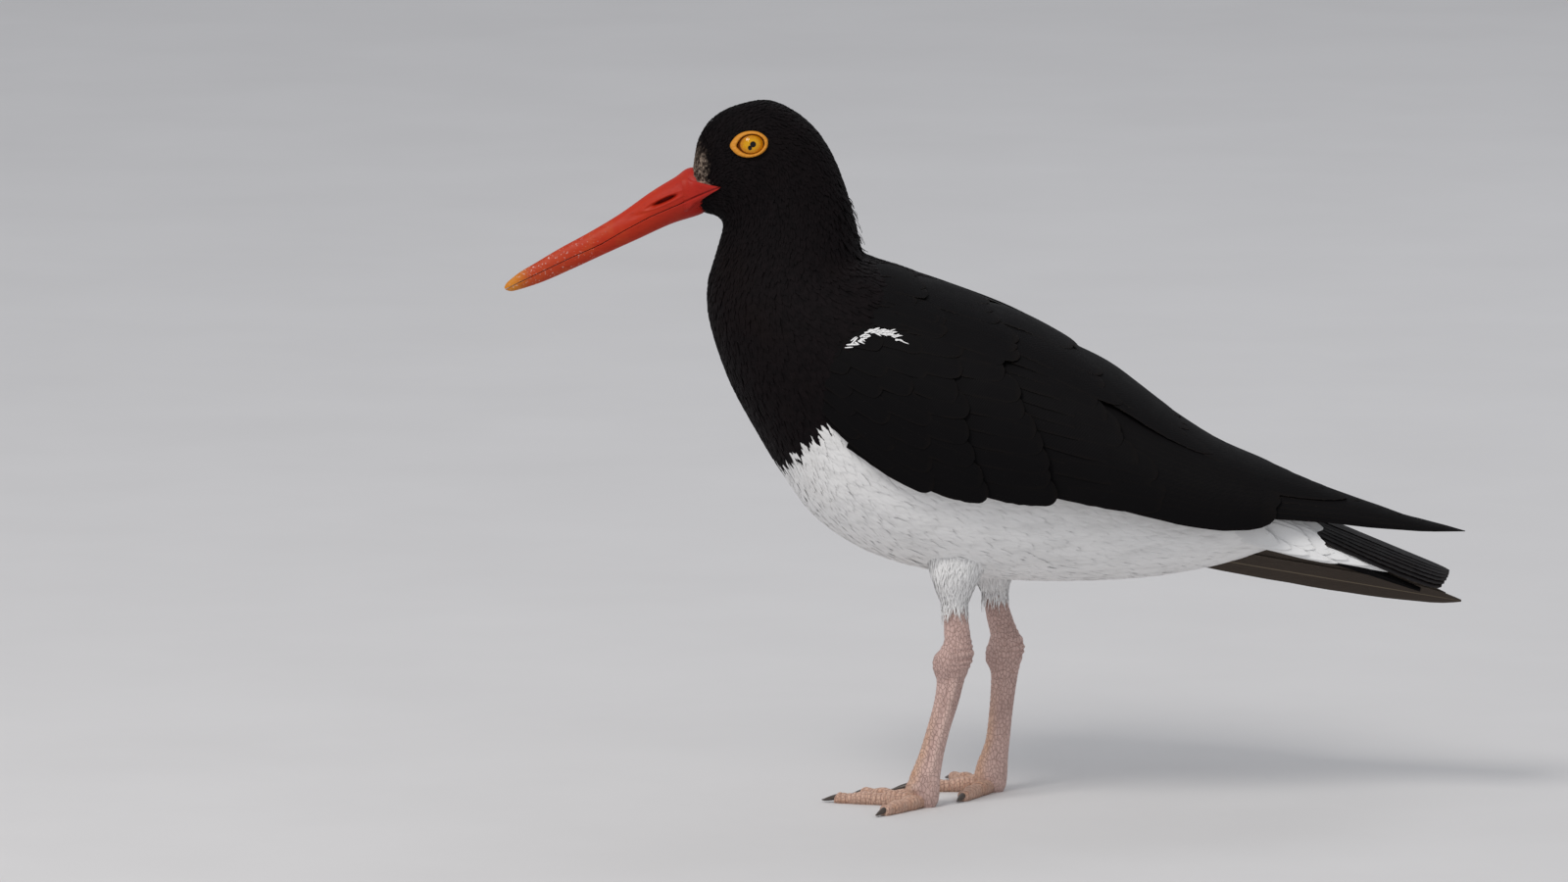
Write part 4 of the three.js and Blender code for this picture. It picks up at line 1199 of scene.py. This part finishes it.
def mandible(name, upper):
    rings, arc, floor_points = 300, 110 if upper else 50, 10
    sections = []
    for t in 10 * np.linspace(0, 1, rings) ** 1.45:
        top_x, top_z, low_x, low_z, half = along(BILL, t)
        m = mouth_share((top_x, top_z), (low_x, low_z))
        gap = 0.14 / max(math.hypot(top_x - low_x, top_z - low_z) / 2, 0.4)
        m = np.clip(m + (gap if upper else -gap), -0.93, 0.93)
        limit = math.acos(np.sign(m) * abs(m) ** (BILL_FULLNESS / 2))
        sweep = np.linspace(-limit, limit, arc) if upper else np.linspace(limit, TURN - limit, arc)
        c, s = superellipse(sweep, BILL_FULLNESS)
        edge = np.linspace(s[-1], s[0], floor_points + 2)[1:-1]
        c = np.concatenate([c, np.full(floor_points, c[0])])
        s = np.concatenate([s, edge])
        half_x, half_z = (top_x - low_x) / 2, (top_z - low_z) / 2
        x, z = (top_x + low_x) / 2 + half_x * c, (top_z + low_z) / 2 + half_z * c
        sections.append(np.stack([x, -s * half, z], -1))
    points = np.stack(sections)
    if upper:
        y = points[..., 1]
        points[..., 1] = np.sign(y) * np.maximum(np.abs(y) - hollow(points) * (np.abs(y) > 0.8), 0.3)
    return one_piece(name, points, ring_faces(rings, arc + floor_points), horn, "bill")


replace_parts(mandible("bill_upper_horn", True), "bill_upper")
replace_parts(mandible("bill_lower_horn", False), "bill_lower")

# %% [markdown]
# Behind the bill's root the horn runs on as a wedge of bare skin that points to the eye. It lies
# on the cheek, so its width is asked from the body's own sections, and the mouth crease parts it.

# %% Gape
def head_half_width(x, z):
    """The body's half width where a point of its side view lies on the head."""
    fine = np.linspace(BODY_START, 8, 500)
    top_x, top_z, low_x, low_z, half = columns(BODY, fine)
    side = (top_x - low_x) * (z - low_z) - (top_z - low_z) * (x - low_x)
    k = int(np.argmin(np.abs(side)))
    reach = math.hypot(top_x[k] - low_x[k], top_z[k] - low_z[k]) / 2
    off = math.hypot(x - (top_x[k] + low_x[k]) / 2, z - (top_z[k] + low_z[k]) / 2) / reach
    return half[k] * (1 - min(off, 1) ** BODY_FULLNESS) ** (1 / BODY_FULLNESS)


GAPE = np.array([
    [0.0, -89.8, 211.6, -89.8, 211.8],
    [1.0, -93.0, 209.3, -93.4, 212.2],
    [2.0, -96.2, 206.8, -96.8, 212.7],
    [3.0, -99.0, 204.6, -99.4, 213.3],
    [4.0, -100.6, 203.0, -101.2, 214.0],
    [5.0, -102.0, 202.0, -103.0, 213.8],
])


def gape():
    rings, rows = 70, 60
    sections = []
    for t in np.linspace(0, 5, rings):
        low_x, low_z, top_x, top_z = along(GAPE, t)
        share = np.linspace(0, 1, rows)
        x, z = mix(low_x, top_x, share), mix(low_z, top_z, share)
        width = np.array([head_half_width(*place) for place in zip(x, z)])
        crease = np.exp(-(((z - np.interp(x, MOUTH[:, 0], MOUTH[:, 1])) / 0.38) ** 2))
        rim = np.exp(-((np.minimum(share, 1 - share) * math.hypot(top_x - low_x, top_z - low_z) / 0.5) ** 2))
        proud = mix(0.75, -0.9, smooth((t - 2.2) / 2.4)) * smooth(t * 2.5 + 0.3)
        width = np.maximum(width + proud - 0.5 * crease - 0.35 * rim, 1.0)
        sections.append(np.concatenate([np.stack([x, -width, z], -1), np.stack([x, width, z], -1)[::-1]]))
    return one_piece("bill_gape", np.stack(sections), ring_faces(rings, 2 * rows), horn, "bill")


gape()

# %% [markdown]
# The eye sits in a fleshy ring, wider in front than behind. The ball shows only through the
# ring's opening, so its size and depth are what make the bird look awake.

# %% Eyes
def eye_ball(name, sign):
    rows, cols = 48, 64
    polar = np.linspace(0.02, math.pi - 0.02, rows)[:, None]
    turn = np.linspace(0, TURN, cols, endpoint=False)[None]
    round_x, round_z = np.sin(polar) * np.cos(turn), np.sin(polar) * np.sin(turn)
    shape = np.stack(np.broadcast_arrays(round_x, sign * np.cos(polar), round_z), -1)
    middle = np.array([EYE["x"], sign * EYE["y"], EYE["z"]])
    return one_piece(name, middle + shape * EYE["radius"], ring_faces(rows, cols), eye_wet, "iris")


LID_PROFILE = np.array([
    [0.0, -2.6], [0.0, -1.2], [0.0, -0.2], [0.04, 0.35], [0.14, 0.80], [0.30, 1.0], [0.5, 1.0], [0.70, 0.86],
    [0.85, 0.58], [0.94, 0.2], [1.0, -0.4], [1.0, -1.4],
])


def lid(name, sign):
    turns = 160
    tilt_c, tilt_s = math.cos(LID["tilt"]), math.sin(LID["tilt"])
    rings = []
    for n in range(turns):
        angle = TURN * n / turns
        c, s = math.cos(angle), math.sin(angle)
        fold = 1 + 0.07 * math.sin(11 * angle + 1.3) + 0.05 * math.sin(23 * angle)
        corner = 0.5 * max(-c, 0) ** 14
        ring = []
        for share, out in LID_PROFILE:
            long = mix(LID["inner"][0], LID["outer"][0], share) * (1 + 0.008 * math.sin(7 * angle) * share)
            high = mix(LID["inner"][1], LID["outer"][1], share) * s
            ahead = long * c - LID["forward"] * share - corner
            x = LID["x"] + ahead * tilt_c - high * tilt_s
            z = LID["z"] + ahead * tilt_s + high * tilt_c
            lift = out * LID["raised"] * (fold if out > 0 else 1)
            ring.append([x, sign * (head_half_width(x, z) + lift), z])
        rings.append(ring)
    count = len(LID_PROFILE)
    r, k = np.meshgrid(np.arange(turns), np.arange(count), indexing="ij")
    here, following = r * count, (r + 1) % turns * count
    after = (k + 1) % count
    faces = halved(np.stack([here + k, here + after, following + after, following + k], -1))
    return one_piece(name, np.array(rings), faces, lid_skin, "eyelid")


for word, sign in (("left", -1), ("right", 1)):
    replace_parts(eye_ball("eyeball_" + word, sign), "eye_" + word)
    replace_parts(lid("eye_ring_" + word, sign), "eyelid_" + word)

# %% [markdown]
# A wader's leg is bare from well above the ankle. The skin is a net of small plates, loose and
# wrinkled round the thick ankle, and the three toes point forward with no toe behind. The legs
# are lofts down the same rows as the solids, and the wrinkles are small waves on them.

# %% Legs
LEGS = {
    "left": {
        "thigh": [
            [-8.0, -17.0, 94.0, 14.0, 6.0], [-9.6, -19.0, 81.0, 9.4, 7.6],
            [-10.2, -19.2, 74.5, 6.6, 5.9], [-10.2, -18.8, 70.5, 5.0, 4.4],
        ],
        "shank": [
            [-10.3, -18.7, 74.0, 3.6, 3.0], [-9.9, -18.6, 66.7, 4.0, 3.3],
            [-9.4, -18.4, 58.5, 4.6, 3.4], [-9.9, -18.2, 55.0, 5.4, 3.9],
            [-10.9, -18.0, 51.2, 6.6, 4.4], [-11.2, -17.9, 47.6, 5.9, 4.1],
            [-11.6, -17.8, 43.4, 4.7, 3.2], [-13.0, -17.6, 36.0, 4.2, 2.7],
            [-15.6, -17.4, 27.0, 4.0, 2.6], [-17.8, -17.2, 19.0, 4.2, 2.8],
            [-19.2, -17.1, 14.0, 4.7, 3.3], [-20.2, -17.0, 10.4, 5.2, 3.9],
            [-20.8, -17.0, 6.0, 5.6, 4.5], [-20.8, -17.0, 2.2, 5.2, 4.2],
            [-20.8, -17.0, 0.0, 4.2, 3.6],
        ],
        "foot": (-20.8, -17.0),
        "toes": {"middle": (-51.0, -8.5), "outer": (-34.6, -37.0), "inner": (-41.5, 3.5)},
    },
    "right": {
        "thigh": [
            [3.0, 15.0, 94.0, 14.0, 6.0], [2.6, 17.0, 80.0, 9.6, 7.6], [3.2, 17.2, 73.0, 6.6, 5.9],
            [3.9, 17.0, 69.0, 5.0, 4.4],
        ],
        "shank": [
            [3.6, 17.0, 72.0, 3.6, 3.0], [4.5, 16.8, 64.1, 4.1, 3.3], [6.4, 16.6, 56.5, 4.8, 3.4],
            [7.2, 16.4, 52.8, 5.6, 3.9], [7.2, 16.2, 49.0, 6.4, 4.4], [7.1, 16.1, 45.2, 5.8, 4.1],
            [7.2, 16.0, 41.0, 4.7, 3.2], [6.6, 16.0, 34.0, 4.2, 2.7], [5.8, 16.0, 26.0, 4.0, 2.6],
            [5.0, 16.0, 18.5, 4.1, 2.8], [4.0, 16.0, 13.6, 4.6, 3.3], [3.2, 16.0, 10.2, 5.2, 3.9],
            [2.6, 16.0, 6.0, 5.6, 4.5], [2.6, 16.0, 2.2, 5.2, 4.2], [2.6, 16.0, 0.0, 4.2, 3.6],
        ],
        "foot": (2.6, 16.0),
        "toes": {"middle": (-27.0, 15.0), "outer": (-10.5, 37.5), "inner": (-7.5, -6.5)},
    },
}


def bump(value, centre, spread):
    return np.exp(-(((value - centre) / spread) ** 2))


def leg(name, rows):
    rings, sides = 230, 64
    rows = numbered(rows)
    t = np.linspace(0, len(rows) - 1, rings)
    x, y, z, deep, wide = along(rows, t).T
    angle = np.linspace(0, TURN, sides, endpoint=False)[None]
    tall = z[:, None]
    knee = z[np.argmax(deep * (z > 35))]
    outer = angle - math.pi * (1 + 0.5 * (1 if y[0] < 0 else -1))
    rear, front = bump(np.angle(np.exp(1j * angle)), 0, 0.9), bump(angle, math.pi, 0.8)
    phase = tall * 2.6 + 3.4 * np.cos(angle + 0.7) + 1.1 * np.sin(3 * angle) + 1.3 * np.sin(tall * 0.9)
    ripple = np.sin(phase) * (0.02 + 0.22 * bump(tall, knee + 1, 6.0) * (0.35 + 0.65 * rear))
    ripple = ripple - 0.12 * np.cos(tall * 1.7) ** 8 * front * smooth((knee - 3 - tall) / 5)
    bulge = 0.55 * rear * bump(tall, knee + 2.5, 3.6) + 0.5 * front * bump(tall, knee - 3.8, 2.6)
    bulge = bulge - 0.6 * front * bump(tall, knee + 4.5, 3.4)
    ridge = bump(outer, 0.35, 0.22) * smooth((knee - 4 - tall) / 5) * smooth((tall - 8) / 6)
    boss = bump(outer, -0.55, 0.34) * bump(tall, 7.2, 1.7)
    groove = bump(outer, -0.15, 0.16) * smooth((knee - 2 - tall) / 5) * smooth((tall - 8) / 6)
    swell = ripple + bulge + 0.35 * ridge - 0.25 * groove + 0.9 * boss
    points = np.stack([
        x[:, None] + np.cos(angle) * (deep[:, None] + swell),
        y[:, None] + np.sin(angle) * (wide[:, None] + swell),
        np.maximum(tall + 0 * angle, 0),
    ], -1)
    # Painted highlight on the ridge, the boss and the wrinkle crests, and painted shade in the groove and the
    # troughs, for the finish to read.
    light = np.clip(ridge + boss + 3.0 * ripple - 0.35 * groove, -1, 1)
    look = np.stack(np.broadcast_arrays(0.5 - 0.5 * np.cos(angle), light), -1)
    return one_piece(name, points, ring_faces(rings, sides), leg_skin, "leg", look)


def toe(heap, foot, tip):
    rings, sides = 130, 26
    t = np.linspace(0, 1, rings)[:, None]
    run = np.array(tip) - np.array(foot)
    length = float(np.hypot(*run))
    ahead = run / length
    across = np.array([-ahead[1], ahead[0]])
    joints = 1 + 0.08 * np.cos(t * math.pi * 6)
    notch = np.cos(t * length * 1.75) ** 6
    plates = 1 - 0.06 * notch
    end = np.where(t > 0.93, np.sqrt(np.maximum(1 - ((t - 0.93) / 0.075) ** 2, 0.12)), 1.0)
    half = mix(3.0, 2.1, t) * joints * end
    high = mix(5.2, 3.4, t) * joints * plates * end
    c, s = superellipse((np.arange(sides) + 0.5)[None] * TURN / sides, 2.4)
    z = np.where(c < -0.6, 0.0, high / 2 * (1 + c))
    plan = np.array(foot)[None] + t * length * ahead[None]
    points = np.stack([plan[:, :1] + across[0] * s * half, plan[:, 1:] + across[1] * s * half, z], -1)
    # Painted shade in the notches between the toe plates, read by the leg finish as light.
    look = np.stack(np.broadcast_arrays(0.9 + 0 * z, 0.35 - 1.2 * notch), -1)
    heap.add(points.reshape(1, -1, 3), ring_faces(rings, sides), vane=look.reshape(1, -1, 2))
    return ahead, across


def claw(name, tip, ahead, across):
    rings, sides = 30, 20
    t = np.linspace(0, 1, rings)[:, None]
    size = np.cos(t * math.pi / 2.12) ** 0.8
    run = -1.8 + t * 6.3
    angle = np.linspace(0, TURN, sides, endpoint=False)[None]
    side = np.sin(angle) * 1.25 * size
    middle = 0.35 + 1.05 * (1.15 + 0.55 * (1 - t) ** 2) * np.maximum(size, 0.35)
    z = np.maximum(middle + np.cos(angle) * 1.05 * size, 0.15)
    x, y = (tip[k] + ahead[k] * run + across[k] * side for k in (0, 1))
    return one_piece(name, np.stack([x, y, z], -1), ring_faces(rings, sides), claw_horn, "claw")


for word, limb in LEGS.items():
    made = leg("leg_skin_" + word, limb["shank"])
    toes = Heap()
    for which, tip in limb["toes"].items():
        ahead, across = toe(toes, limb["foot"], tip)
        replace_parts(claw(f"claw_horn_{word}_{which}", tip, ahead, across), f"claw_{word}_{which}")
    pads = toes.made("toes_skin_" + word, (leg_skin,), "leg", uses=("Vane",))
    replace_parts(made, "shank_" + word)
    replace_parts(pads, "foot_" + word, *[f"toe_{word}_{which}" for which in limb["toes"]])

# %% [markdown]
# The thighs wear short white trousers of soft down that end in a ragged fringe above the bare
# leg. Their feathers hang down the limb, so they are sown on a surface of their own.

# %% Thighs
def thigh(word, limb):
    rows = numbered(limb["thigh"])

    def point(t, a):
        x, y, z, deep, wide = columns(rows, np.clip(t, 0, len(rows) - 1))
        z = z - np.maximum(t - (len(rows) - 1), 0) * 4.0
        return np.stack([x + np.cos(a) * (deep - 0.8), y - np.sin(a) * (wide - 0.8), z], -1)

    surface = Surface(point, 0.02, 0.02)
    rings, sides = 60, 40
    t, a = loft_grid(0, len(rows) - 1, rings, sides)
    heap = Heap()
    heap.add(point(t, a).reshape(1, -1, 3), ring_faces(rings, sides), bake=np.array([0.5, 0.5]))
    skin_piece = heap.made("thigh_skin_" + word, (white,), "plumage_mixed")
    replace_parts(skin_piece, "thigh_" + word)
    t, a = sown(surface, (0.2, 2.95), 40, lambda t: np.full_like(t, 0.62), rng)
    count = len(t)
    length = rng.uniform(3.5, 8.5, count)
    width = rng.uniform(0.22, 0.42, count) * np.interp(t, [1.4, 2.8], [1, 0.4])
    points, facing = blades(surface, t, a, length, width, rng.normal(0, 0.22, count),
                            np.full(count, -0.2), rng.uniform(0.2, 0.7, count), 0.08)
    bake = np.stack([0.02 + 0.96 * t / 3.2, 0.02 + 0.96 * (a / TURN)], -1)[:, None] + BLADE_MAP[None]
    coat = Heap()
    coat.add(points, BLADE_FACES, bake=bake, out=facing)
    coat.made("thigh_coat_" + word, (white,), "plumage_mixed")


for word, limb in LEGS.items():
    thigh(word, limb)
